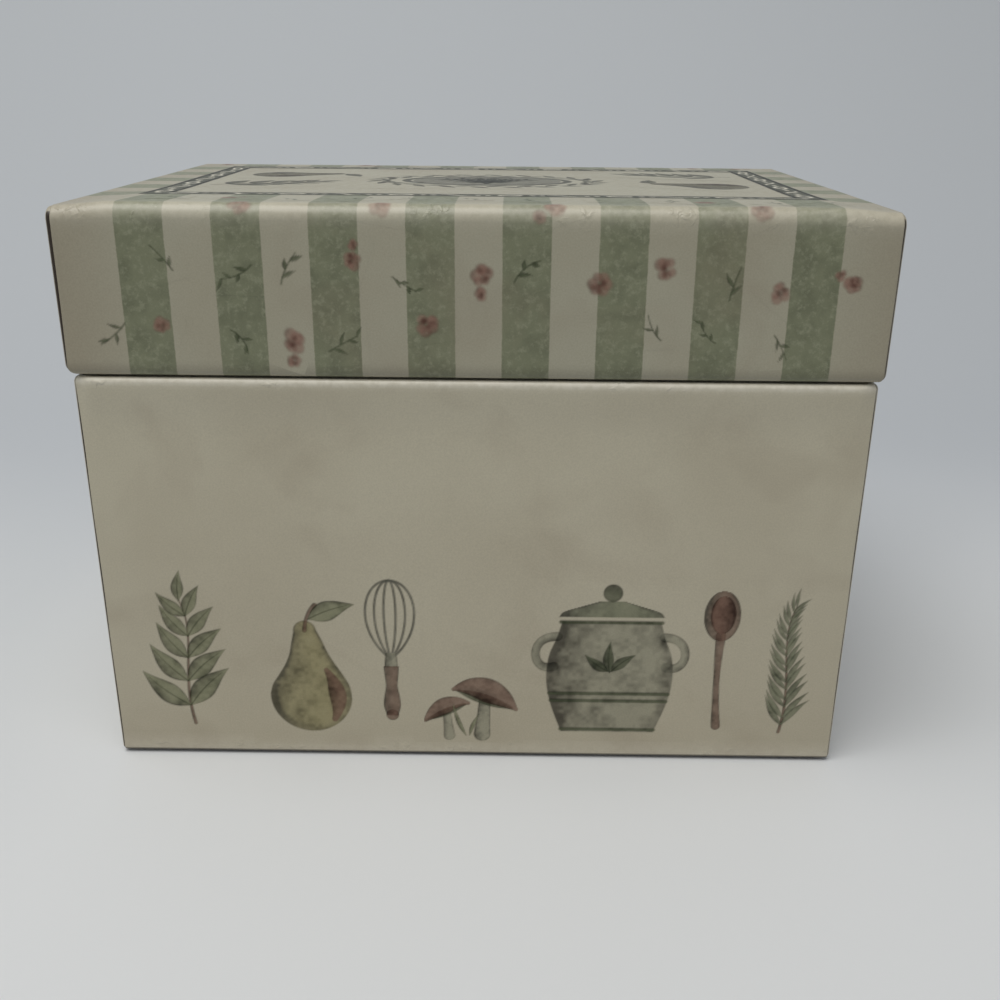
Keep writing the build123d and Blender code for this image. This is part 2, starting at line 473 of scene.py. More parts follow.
@dataclass(frozen=True)
class StripedPaper(PrintedPaper):
    """The lid's cover paper: sage stripes on cream, square to each edge and mitred at the corners.

    The sage is sponged: paler flecks lie over slow changes of tone. The margins are how far the
    stripes reach over the top from the front, the sides and the back.
    """

    sage: str = "7F8268"
    sage_deep: str = "70735B"
    sage_pale: str = "94967D"
    sage_size: float = 4.0
    fleck_size: float = 1.3
    drift_size: float = 30.0
    drift_most: float = 0.22
    handled: tuple[float, float] = (1.0, 17.0)
    handled_most: float = 0.32
    pitch: float = 19.39
    stripe: float = 9.8
    count: int = 8
    side_count: int = 5
    side_middle: float = 2.7
    shift: float = 0.8
    waver: float = 0.09
    blur: float = 0.12
    half_width: float = 0.0
    front: float = 0.0
    back: float = 0.0
    top: float = 0.0
    margins: tuple[float, float, float] = (24.5, 11.0, 12.5)

    def ground(self, tree: bpy.types.NodeTree, place: bpy.types.NodeSocket) -> bpy.types.NodeSocket:
        """Cream and sage, told apart by the distance from the nearest stripe's middle line.

        Each distance from an edge of the top is divided by that edge's margin. The smallest of
        these shares picks the edge that the stripes are square to, which mitres the corners.
        Where it is over 1, the top has no stripes.

        Args:
            tree: the node tree.
            place: coordinates in metres.

        Returns:
            The colour's socket.
        """
        x, y, z = (add(tree, "SeparateXYZ", place, out=axis) for axis in "XYZ")
        x = add(tree, "Math", x, 1 / MM, -self.shift, operation="MULTIPLY_ADD")
        y = add(tree, "Math", y, 1 / MM, operation="MULTIPLY")
        edge = add(tree, "Math", x, operation="ABSOLUTE")
        from_side = add(tree, "Math", self.half_width, edge, operation="SUBTRACT")
        from_front = add(tree, "Math", y, self.front, operation="SUBTRACT")
        from_back = add(tree, "Math", self.back, y, operation="SUBTRACT")
        in_front, in_side, in_back = (
            add(tree, "Math", away, margin, operation="DIVIDE")
            for away, margin in zip((from_front, from_side, from_back), self.margins)
        )
        end = add(tree, "Math", in_front, in_back, operation="MINIMUM")
        nearest = add(tree, "Math", in_side, end, operation="MINIMUM")
        sideways = add(tree, "Math", in_side, end, operation="LESS_THAN")
        along_x = add(tree, "Math", x, self.pitch / 2, operation="ADD")
        along_y = add(tree, "Math", y, self.side_middle, operation="SUBTRACT")
        across = add(tree, "Mix", sockets={0: sideways, 2: along_x, 3: along_y}, data_type="FLOAT")
        reach = add(tree, "Math", along_y, operation="ABSOLUTE")
        reach = add(tree, "Mix", sockets={0: sideways, 2: edge, 3: reach}, data_type="FLOAT")
        limits = {0: sideways, 2: self.count / 2 * self.pitch, 3: self.side_count / 2 * self.pitch}
        limit = add(tree, "Mix", sockets=limits, data_type="FLOAT")
        printed = add(tree, "Math", reach, limit, operation="LESS_THAN")
        uneven = add(tree, "TexNoise", place, sockets={"Scale": per(1.5), "Detail": 5.0})
        nudge = add(tree, "MapRange", uneven, 0.2, 0.8, -self.waver, self.waver, out="Result")
        across = add(tree, "Math", across, nudge, operation="ADD")
        fold = add(tree, "Math", across, self.pitch / 2, operation="PINGPONG")
        inner, outer = self.stripe / 2 - self.blur, self.stripe / 2 + self.blur
        stripe = add(tree, "MapRange", fold, inner, outer, 1.0, 0.0, out="Result")
        on_top = add(tree, "Math", z, (self.top - 1.0) * MM, operation="GREATER_THAN")
        middle = add(tree, "Math", nearest, 1.0, operation="GREATER_THAN")
        bare = add(tree, "Math", on_top, middle, operation="MULTIPLY")
        keep = add(tree, "Math", 1.0, bare, operation="SUBTRACT")
        for share in (keep, printed):
            stripe = add(tree, "Math", stripe, share, operation="MULTIPLY")
        cream = self.clouded(tree, place, self.cream, self.aged_and_foot_shade, self.drift_size, self.drift_most)
        handled = add(tree, "MapRange", from_side, *self.handled, self.handled_most, 0.0, out="Result")
        mixed = {0: handled, 6: cream, 7: linear(self.smudge)}
        cream = add(tree, "Mix", sockets=mixed, out=2, data_type="RGBA")
        sage = self.clouded(tree, place, self.sage, self.sage_deep, self.sage_size, 1.0)
        sponge = {"Scale": per(self.fleck_size), "Detail": 6.0, "Roughness": 0.7}
        fleck = add(tree, "TexNoise", place, sockets=sponge)
        pale = add(tree, "MapRange", fleck, 0.50, 0.66, 0.0, 0.75, out="Result")
        mixed = {0: pale, 6: sage, 7: linear(self.sage_pale)}
        sage = add(tree, "Mix", sockets=mixed, out=2, data_type="RGBA")
        return add(tree, "Mix", sockets={0: stripe, 6: cream, 7: sage}, out=2, data_type="RGBA")


@dataclass(frozen=True)
class PlainStock(Finish):
    """Uncoated paper or board: matt, with short fibres pressed flat in every direction."""

    pale: str = "C9C3B2"
    deep: str = "B5AE9A"
    fibre: float = 0.5
    patch: float = 12.0
    relief: float = 0.03

    def shade(self, tree: bpy.types.NodeTree) -> bpy.types.NodeSocket:
        """Fibre noise for colour and relief, and slow patches where the sheet is denser.

        Args:
            tree: the node tree.

        Returns:
            The shader's output socket.
        """
        place = add(tree, "TexCoord", out="Object")
        fibres = add(tree, "TexNoise", place, sockets={"Scale": per(self.fibre), "Detail": 6.0})
        patches = add(tree, "TexNoise", place, sockets={"Scale": per(self.patch), "Detail": 2.0})
        blend = add(tree, "Math", fibres, 0.6, operation="MULTIPLY")
        blend = add(tree, "Math", patches, 0.4, blend, operation="MULTIPLY_ADD")
        drift = add(tree, "MapRange", blend, 0.35, 0.65, out="Result")
        mixed = {0: drift, 6: linear(self.pale), 7: linear(self.deep)}
        colour = add(tree, "Mix", sockets=mixed, out=2, data_type="RGBA")
        rough = add(tree, "MapRange", fibres, 0.3, 0.7, 0.72, 0.9, out="Result")
        bump = add(tree, "Bump", 0.6, self.relief * MM, sockets={"Height": fibres})
        surface = {"Base Color": colour, "Roughness": rough, "IOR": 1.47, "Normal": bump}
        return add(tree, "BsdfPrincipled", sockets=surface)


@dataclass(frozen=True)
class BookCloth(Finish):
    """Starched book cloth: a plain weave whose threads are drawn 0.6 mm apart, coarse enough to show."""

    thread: float = 0.6
    raised: str = "7C8070"
    sunk: str = "5B5F52"

    def shade(self, tree: bpy.types.NodeTree) -> bpy.types.NodeSocket:
        """Two sets of ridges, along and across, that pass over each other.

        Args:
            tree: the node tree.

        Returns:
            The shader's output socket.
        """
        place = add(tree, "TexCoord", out="Object")
        threads = []
        for axis in "XZ":
            along = add(tree, "SeparateXYZ", place, out=axis)
            turned = add(tree, "Math", along, pi / (self.thread * MM), operation="MULTIPLY")
            threads.append(add(tree, "Math", turned, operation="SINE"))
        weave = add(tree, "Math", *threads, operation="MULTIPLY")
        slub = add(tree, "TexNoise", place, sockets={"Scale": per(1.5), "Detail": 3.0})
        height = add(tree, "Math", weave, slub, operation="ADD")
        # Painted shade: the sunk parts of the weave are darker.
        drift = add(tree, "MapRange", height, -0.6, 1.5, out="Result")
        mixed = {0: drift, 6: linear(self.sunk), 7: linear(self.raised)}
        colour = add(tree, "Mix", sockets=mixed, out=2, data_type="RGBA")
        bump = add(tree, "Bump", 0.8, 0.08 * MM, sockets={"Height": height})
        surface = {
            "Base Color": colour,
            "Roughness": 0.8,
            "IOR": 1.5,
            "Sheen Weight": 0.2,
            "Normal": bump,
        }
        return add(tree, "BsdfPrincipled", sockets=surface)


@dataclass(frozen=True)
class StudioSheet(Finish):
    """The matt grey-white sheet that the box stands on, swept up behind it."""

    near: str = "DBDDDF"
    aside: str = "D2D5D8"
    middle: str = "C2C6CB"
    far: str = "C4C8CC"
    front: str = "8E9194"

    def shade(self, tree: bpy.types.NodeTree) -> bpy.types.NodeSocket:
        """Pale round the box, greyer behind it and left of it as painted falloff of light, and grey nearer
        the camera.

        Args:
            tree: the node tree.

        Returns:
            The shader's output socket.
        """
        place = add(tree, "TexCoord", out="Object")
        x, y = (add(tree, "SeparateXYZ", place, out=axis) for axis in "XY")
        # For each zone: its grey, its axis, where along it, in metres, it starts and is full, and how.
        zones = (
            (self.aside, x, -0.085, -0.15, "SMOOTHSTEP"),
            (self.middle, y, -0.05, 0.2, "SMOOTHSTEP"),
            (self.far, y, 0.2, 0.6, "LINEAR"),
            (self.front, y, -0.17, -0.34, "SMOOTHSTEP"),
        )
        # The aside, middle and far greys are painted falloff of light over an even sheet.
        colour = linear(self.near)
        for tone, axis, start, end, ramp in zones:
            share = add(tree, "MapRange", axis, start, end, out="Result", interpolation_type=ramp)
            mixed = {0: share, 6: colour, 7: linear(tone)}
            colour = add(tree, "Mix", sockets=mixed, out=2, data_type="RGBA")
        tooth = add(tree, "TexNoise", place, sockets={"Scale": per(2.0), "Detail": 4.0})
        bump = add(tree, "Bump", 0.3, 0.05 * MM, sockets={"Height": tooth})
        surface = {"Base Color": colour, "Roughness": 0.75, "Normal": bump}
        return add(tree, "BsdfPrincipled", sockets=surface)


class Side(Enum):
    """The two ends of the box, by the sign of X."""

    LEFT = -1
    RIGHT = 1


@dataclass
class Walk:
    """An outline in the plane across X, told by its stretches, and the places along it.

    The heading turns right at a steady rate on each bend, and the place is the running sum of
    small steps along the heading.
    """

    start: tuple[float, float]
    lengths: list[float]
    turns: list[float]
    step: float = 0.02

    def __post_init__(self) -> None:
        """Adds up the small steps."""
        self.ends = np.concatenate([[0], np.cumsum(self.lengths)])
        turned = np.concatenate([[0], np.cumsum(self.turns)])
        count = int(self.ends[-1] / self.step)
        self.far = np.linspace(0, self.ends[-1], count + 1)
        self.heading = -pi / 2 - np.interp(self.far, self.ends, turned)
        middle = -pi / 2 - np.interp((self.far[1:] + self.far[:-1]) / 2, self.ends, turned)
        stride = self.far[1]
        self.y = self.start[0] + np.concatenate([[0], np.cumsum(np.cos(middle) * stride)])
        self.w = self.start[1] + np.concatenate([[0], np.cumsum(np.sin(middle) * stride)])

    def at(self, far: Array) -> tuple[Array, Array, Array, Array]:
        """Places and outward directions.

        Args:
            far: distances along the walk.

        Returns:
            y, w, and the y and w parts of the outward direction, which is left of the heading.
        """
        y, w, heading = (np.interp(far, self.far, row) for row in (self.y, self.w, self.heading))
        return y, w, -np.sin(heading), np.cos(heading)


@dataclass
class Tray:
    """The outer shape of one half of the box. w runs from the open rim to the closed end.

    The cover paper goes round front, closed end and back. The side papers lie under its edges,
    which stop short of the corners and leave a seam uncovered. The shares from 0 to 1 set how pale
    bends, rims and corners are, which is rubbing and, on bends and rims, partly a painted
    highlight, and how much painted shade lies by the rims and over the closed end's bends; the
    other sizes are millimetres.
    """

    name: str
    body: str
    bend: float
    rim_corner: tuple[float, float]
    left_seam: tuple[float, float]
    right_seam: tuple[float, float]
    lip: float = 0.0
    brow: float = 0.0
    # Paling of bends and rims is partly rubbing and partly a painted highlight; the darkening by the rims
    # and on the bends is painted shade.
    bend_wear_and_highlight: float = 0.3
    rim_wear_and_highlight: float = 0.0
    rim_painted_shade: float = 0.0
    bend_painted_shade: float = 0.0
    paper: float = 0.2
    board: float = 1.6
    corner: float = 0.8
    turn_in: float = 8.0
    flap: float = 9.0
    sliver: float = 0.25
    bow: float = 0.12
    crown: float = 0.15
    blunted: float = 6.0
    lip_fade: float = 8.0
    lip_behind: float = 5.0
    lip_ramp: float = 2.5
    lip_aside: float = 4.0
    brow_fade: float = 24.0
    brow_aside: float = 14.0
    bend_rub_and_highlight_width: float = 2.4
    rim_rub_and_highlight_width: float = 1.1
    rim_shade_width: float = 1.3
    corner_rub: float = 2.2
    corner_wear: float = 0.3

    def __post_init__(self) -> None:
        """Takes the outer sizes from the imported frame."""
        low, high = (np.array(end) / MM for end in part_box(f"{self.name}_cover_paper"))
        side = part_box(f"{self.name}_right_side_paper")[1]
        lid = self.name == "lid"
        self.half_width = side[0] / MM
        self.front, self.back = low[1], high[1]
        self.open_z, self.closed_z = (low[2], high[2]) if lid else (high[2], low[2])
        self.height = high[2] - low[2]
        self.up = 1 if lid else -1
        self.depth = self.back - self.front
        self.roll = (self.board + 3 * self.paper) / 2

    def walk(self, inset: float) -> Walk:
        """The outline of a layer that lies this much further in than the cover paper's face.

        Args:
            inset: how much further in.

        Returns:
            The outline, from one turned-in edge to the other.
        """
        roll, bend = self.roll - inset, self.bend - inset
        leg = self.height - self.bend - self.roll
        half = [self.turn_in - self.roll, pi * roll, leg, pi / 2 * bend]
        turns = [0, pi, 0, pi / 2]
        closed = self.depth - 2 * self.bend
        start = (self.front + self.roll + roll, self.turn_in)
        return Walk(start, [*half, closed, *half[::-1]], [*turns, 0, *turns[::-1]])

    @cached_property
    def cover(self) -> Walk:
        """The outline of the cover paper's outer face."""
        return self.walk(0)

    def arc(self, reach: Array, radius: float) -> Array:
        """How far a round corner has drawn in at this reach past the start of its rounding."""
        return radius - np.sqrt(np.maximum(radius**2 - np.clip(reach, 0, radius) ** 2, 0))

    def settle(self, x: Array, y: Array, w: Array) -> Array:
        """Where a point of the plain shape lies on the real box, in metres.

        The rim's corners are blunted: a point rises by A(a) A(b) / R, where A is the draw-in of
        a round corner of radius R, and a and b are the reaches past its start, across and along.
        The walls and the closed end bow outwards a little, as a parabola in each direction. The
        front's folded rim stands forward as a lip, and the closed end stands up behind its front
        bend as a brow; both fade out as a bell curve, and towards the corners.

        Args:
            x: places across the box.
            y: places along it.
            w: distances from the open rim.

        Returns:
            Places in metres, one row each.
        """
        radius = np.where(x < 0, *self.rim_corner)
        middle = (self.front + self.back) / 2
        ends = np.minimum(y - self.front, self.back - y)
        across = self.arc(np.abs(x) - self.half_width + radius, radius)
        along = self.arc(radius - (ends - self.corner - self.paper), radius)
        fade = np.clip(1 - w / self.blunted, 0, 1) ** 2
        wide = 1 - (x / self.half_width) ** 2
        deep = 1 - ((y - middle) / (self.depth / 2)) ** 2
        level = w / self.height
        hump = 4 * level * (1 - level) * self.bow
        moved_x = x * (1 + hump * deep / self.half_width)
        moved_y = middle + (y - middle) * (1 + hump * wide / (self.depth / 2))
        from_end = self.half_width - np.abs(x)
        forward = smooth((self.front + self.lip_behind - y) / self.lip_ramp)
        forward = forward * smooth(from_end / self.lip_aside)
        moved_y = moved_y - self.lip * np.exp(-((w / self.lip_fade) ** 2)) * forward
        raised = self.brow * np.exp(-(((y - self.front) / self.brow_fade) ** 2)) * level**8
        raised = raised * smooth(from_end / self.brow_aside)
        raised = raised + self.crown * level**2 * wide * deep
        moved_w = w + across * along / radius * fade + raised
        return np.stack([moved_x, moved_y, self.open_z + self.up * moved_w], -1) * MM

    def uncovered(self, side: int, y: Array, w: Array) -> Array:
        """Width of the seam that the cover paper leaves at the corner, from rim to closed end.

        Args:
            side: -1 for the left end, 1 for the right.
            y: places along the box.
            w: distances from the rim.

        Returns:
            The width, which wavers by less than a tenth of a millimetre either way.
        """
        plain = np.interp(w / self.height, [0, 1], self.left_seam if side < 0 else self.right_seam)
        return plain + 0.05 * np.sin(w / 5.3 + side) + 0.04 * np.sin(y / 7.1)

    def facing(self, ny: Array, nw: Array) -> Array:
        """Outward directions in the row frame, from their parts in the plane across X."""
        return np.stack([np.zeros_like(ny), ny, self.up * nw], -1)

    def cover_face(self, x: Array, far: Array, lift: float = 0.0) -> tuple[Array, Array]:
        """The cover paper's outer face, or a layer just over it.

        Args:
            x: distance from the middle, across.
            far: distance along the cover paper's walk.
            lift: height over the face.

        Returns:
            Places in metres, and outward directions.
        """
        y, w, ny, nw = self.cover.at(far)
        drawn_in = self.arc(np.abs(x) - self.half_width + self.corner, self.corner + self.paper)
        depth = drawn_in - lift
        return self.settle(x, y - ny * depth, w - nw * depth), self.facing(ny, nw)

    def side_face(self, side: int, y: Array, w: Array, lift: float = 0.0) -> tuple[Array, Array]:
        """A side paper's flat face, or a layer just over it.

        Args:
            side: -1 for the left end, 1 for the right.
            y: places along the box.
            w: distances from the rim.
            lift: height over the face.

        Returns:
            Places in metres, and outward directions.
        """
        outward = np.zeros((y.size, 3))
        outward[:, 0] = side
        return self.settle(np.full_like(y, side * (self.half_width + lift)), y, w), outward

    def wear_and_highlight(self, far: Array) -> Array:
        """How pale the cover paper is: a bell curve round each bend and each rim's fold.

        Args:
            far: distances along the cover paper's walk.

        Returns:
            The paling at each, from 0 to 1: partly rubbing, partly a painted highlight.
        """
        ends = self.cover.ends
        bends = [(ends[3] + ends[4]) / 2, (ends[5] + ends[6]) / 2]
        rims = [ends[2] - 0.2 * pi * self.roll, ends[7] + 0.2 * pi * self.roll]
        on_bend = np.max([np.exp(-(((far - bend) / self.bend_rub_and_highlight_width) ** 2)) for bend in bends], axis=0)
        on_rim = np.max([np.exp(-(((far - rim) / self.rim_rub_and_highlight_width) ** 2)) for rim in rims], axis=0)
        return np.maximum(self.bend_wear_and_highlight * on_bend, self.rim_wear_and_highlight * on_rim)

    def painted_shade(self, far: Array) -> Array:
        """How much painted shade the cover paper has next to its rims, and on the lower part of its bends
        and the closed end.

        Args:
            far: distances along the cover paper's walk.

        Returns:
            The painted shade at each, from 0 to 1.
        """
        ends = self.cover.ends
        away = np.minimum(np.abs(far - ends[2]), np.abs(far - ends[7]))
        # Painted shade next to the rims, and over the closed end's bends and face.
        rims = self.rim_painted_shade * np.exp(-((away / self.rim_shade_width) ** 2))
        inward = np.minimum(far - ends[3], ends[6] - far) / (ends[4] - ends[3])
        return np.maximum(rims, self.bend_painted_shade * smooth((inward - 0.12) / 0.12))


@dataclass
class PaperedTray:
    """The papers that cover one half of the box."""

    tray: Tray
    finish: PrintedPaper

    def build(self) -> None:
        """Makes the cover paper and the two side papers."""
        self.cover_paper()
        for side in Side:
            self.side_paper(side)

    def ready(self, piece: bpy.types.Object, node: str) -> None:
        """Gives a paper its thickness and body, and lets it stand for its CAD node.

        Args:
            piece: the paper.
            node: the CAD node's name.
        """
        thicken(piece, self.tray.paper)
        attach(piece, self.tray.body)
        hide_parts(node)
        LOG.info("%s: %d faces", piece.name, len(piece.data.polygons))

    def cover_paper(self) -> None:
        """The sheet round front, closed end and back, a grid of distances across and along."""
        tray = self.tray
        ends = tray.cover.ends
        fine = 12.0
        inward = [4, 12, 16, 18, 16]
        far = spread(sorted([*ends, ends[2] + fine, ends[7] - fine]), [*inward, 46, *inward[::-1]])
        across = spread([-1, -0.98, -0.93, 0.93, 0.98, 1], [8, 5, 60, 5, 8])
        y, w, _, _ = tray.cover.at(far)
        turned = np.interp(far, ends[[1, 2, 7, 8]], [1, 0, 0, 1])
        inner = tray.board + 2.25 * tray.paper
        left, right = (
            side * (tray.half_width - tray.uncovered(side, y, w) * (1 - turned) - inner * turned)
            for side in (Side.LEFT.value, Side.RIGHT.value)
        )
        x = (left[:, None] + (right - left)[:, None] * (across + 1) / 2).ravel()
        walked = np.repeat(far, across.size)
        points, outward = tray.cover_face(x, walked)
        faces = turned_out(points, grid_faces(far.size, across.size), outward)
        # The paler band is partly rubbing and partly a painted highlight; the darkening is painted shade.
        attributes = {"wear_and_highlight": tray.wear_and_highlight(walked), "dark_seam_and_painted_shade": tray.painted_shade(walked)}
        name = f"{tray.name}_printed_cover"
        piece = make_piece(name, points, faces, self.finish.material, attributes)
        self.ready(piece, f"{tray.name}_cover_paper")

    def side_paper(self, side: Side) -> None:
        """The sheet over one end, in three grids that share their edges.

        A strip follows the outline with its flap, its round corner and the rim of the flat face.
        A panel fills the flat face. A roll takes both round the rim: each of its loops is the
        outline seen from above, drawn in by 1 - cos of the angle, its corner radius with it.

        Args:
            side: which end it covers.
        """
        tray = self.tray
        half, paper, corner = tray.half_width, tray.paper, tray.corner
        walk = tray.walk(paper)
        angle = spread([0, pi / 2], [12])[1:]
        flap_x = spread([half - tray.flap, half - corner], [4])
        inset = spread([corner, tray.bend - paper], [4])[1:]
        strip_x = np.concatenate([flap_x, half - corner + corner * np.sin(angle), np.full(inset.size, half)])
        strip_d = np.concatenate([np.zeros(flap_x.size), corner * (1 - np.cos(angle)), inset])
        legs, bends, closed = 26, 14, 40
        far = spread(list(walk.ends[2:8]), [legs, bends, closed, bends, legs])
        y, w, ny, nw = (row[:, None] for row in walk.at(far))
        grids = [(np.broadcast_to(strip_x, (far.size, strip_x.size)), y - ny * strip_d, w - nw * strip_d)]
        panel_y = y[legs + bends : legs + bends + closed + 1, 0]
        panel_w = w[: legs + 1]
        shape = (legs + 1, closed + 1)
        grids.append(tuple(np.broadcast_to(a, shape) for a in (np.float64(half), panel_y, panel_w)))
        turn = spread([0, pi], [12])[:, None]
        height = tray.roll - paper
        folded = np.linspace(tray.roll, tray.turn_in, 4)[1:, None]
        drawn = np.concatenate([1 - np.cos(turn), np.full_like(folded, 2)])
        roll_w = np.concatenate([tray.roll - height * np.sin(turn), folded])
        rounding = np.maximum(corner - drawn, 0)
        line = half - drawn * (tray.board / 2 + paper)
        deep = paper + height * drawn
        flap = np.minimum(flap_x, line - rounding)
        bent = line - rounding + rounding * np.sin(angle)
        flat = np.broadcast_to(line, (line.size, inset.size))
        end_x = np.concatenate([flap, bent, flat], 1)
        end_d = np.concatenate(
            [
                np.broadcast_to(deep, flap.shape),
                deep + rounding * (1 - np.cos(angle)),
                np.maximum(paper + inset, deep + rounding),
            ],
            1,
        )
        middle = panel_y[1:-1]
        loop_x = np.concatenate(
            [end_x, np.broadcast_to(line, (line.size, middle.size)), end_x[:, ::-1]], 1
        )
        loop_y = np.concatenate(
            [
                tray.front + end_d,
                np.broadcast_to(middle, (line.size, middle.size)),
                (tray.back - end_d)[:, ::-1],
            ],
            1,
        )
        grids.append((loop_x, loop_y, np.broadcast_to(roll_w, loop_x.shape)))
        rimward = np.zeros(roll_w.shape)
        rimward[: turn.size] = np.sin(turn)
        self.join_side(side, grids, np.broadcast_to(rimward, loop_x.shape))

    def join_side(self, side: Side, grids: list[tuple[Array, Array, Array]], rimward: Array) -> None:
        """Makes one welded sheet of the three grids, with a darker seam line at its corners.

        Args:
            side: which end it covers.
            grids: strip, panel and roll, each as its x, y and w.
            rimward: for each point of the roll, how much it faces the rim.
        """
        tray = self.tray
        centre = np.array([0, (tray.front + tray.back) / 2, (tray.open_z + tray.closed_z) / 2]) * MM
        points, faces, first = [], [], 0
        for number, (x, y, w) in enumerate(grids):
            placed = tray.settle(side.value * x.ravel(), y.ravel(), w.ravel())
            outward = placed - centre
            if number == 2:
                outward = np.array([0, 0, -tray.up]) * rimward.ravel()[:, None]
            points.append(np.stack([x.ravel(), y.ravel(), w.ravel()], -1))
            faces.append(turned_out(placed, grid_faces(*x.shape), outward) + first)
            first += x.size
        x, y, w = np.concatenate(points).T
        uncovered = tray.uncovered(side.value, y, w)
        gap = x - (tray.half_width - uncovered)
        ends = np.minimum(y - tray.front, tray.back - y)
        shown = smooth((uncovered - tray.sliver - gap) / 0.12) * smooth((1.0 - ends) / 0.25)
        darkened = shown * np.interp(w / tray.height, [0.0, 0.06, 0.97, 0.995], [0.3, 1.0, 1.0, 0.8])
        wear_and_highlight = tray.corner_wear * np.exp(-(((tray.half_width - x + ends) / tray.corner_rub) ** 2))
        placed = tray.settle(side.value * x, y, w)
        attributes = {"dark_seam_and_painted_shade": darkened, "wear_and_highlight": wear_and_highlight}
        name = f"{tray.name}_{side.name.lower()}_printed_side"
        piece = make_piece(name, placed, np.concatenate(faces), self.finish.material, attributes)
        weld(piece)
        self.ready(piece, f"{tray.name}_{side.name.lower()}_side_paper")


@dataclass(frozen=True)
class Pigment:
    """The two tones of a watercolour wash, and how dense it lies."""

    light: str
    dark: str
    density: float = 0.9


LEAF = Pigment("929574", "2B3020")
SAGE = Pigment("868B70", "2A3026")
DEEP = Pigment("5C634B", "22281D")
STONE = Pigment("AEAB95", "302F28")
WOOD = Pigment("86695A", "2C2019")
CLAY = Pigment("8E6E5F", "3A261F")
STRAW = Pigment("ABA275", "3C3924")
WIRE = Pigment("77766A", "2F2E29")
ROSE = Pigment("927164", "593E36", 0.72)
PANEL = Pigment("C2C0AC", "A9AB98", 0.8)
BAND = Pigment("4F5145", "3E4035", 1.05)
RULE = Pigment("1E1F19", "181914", 1.1)
BARE = Pigment("DDD8C8", "C6C1B0", 1.1)


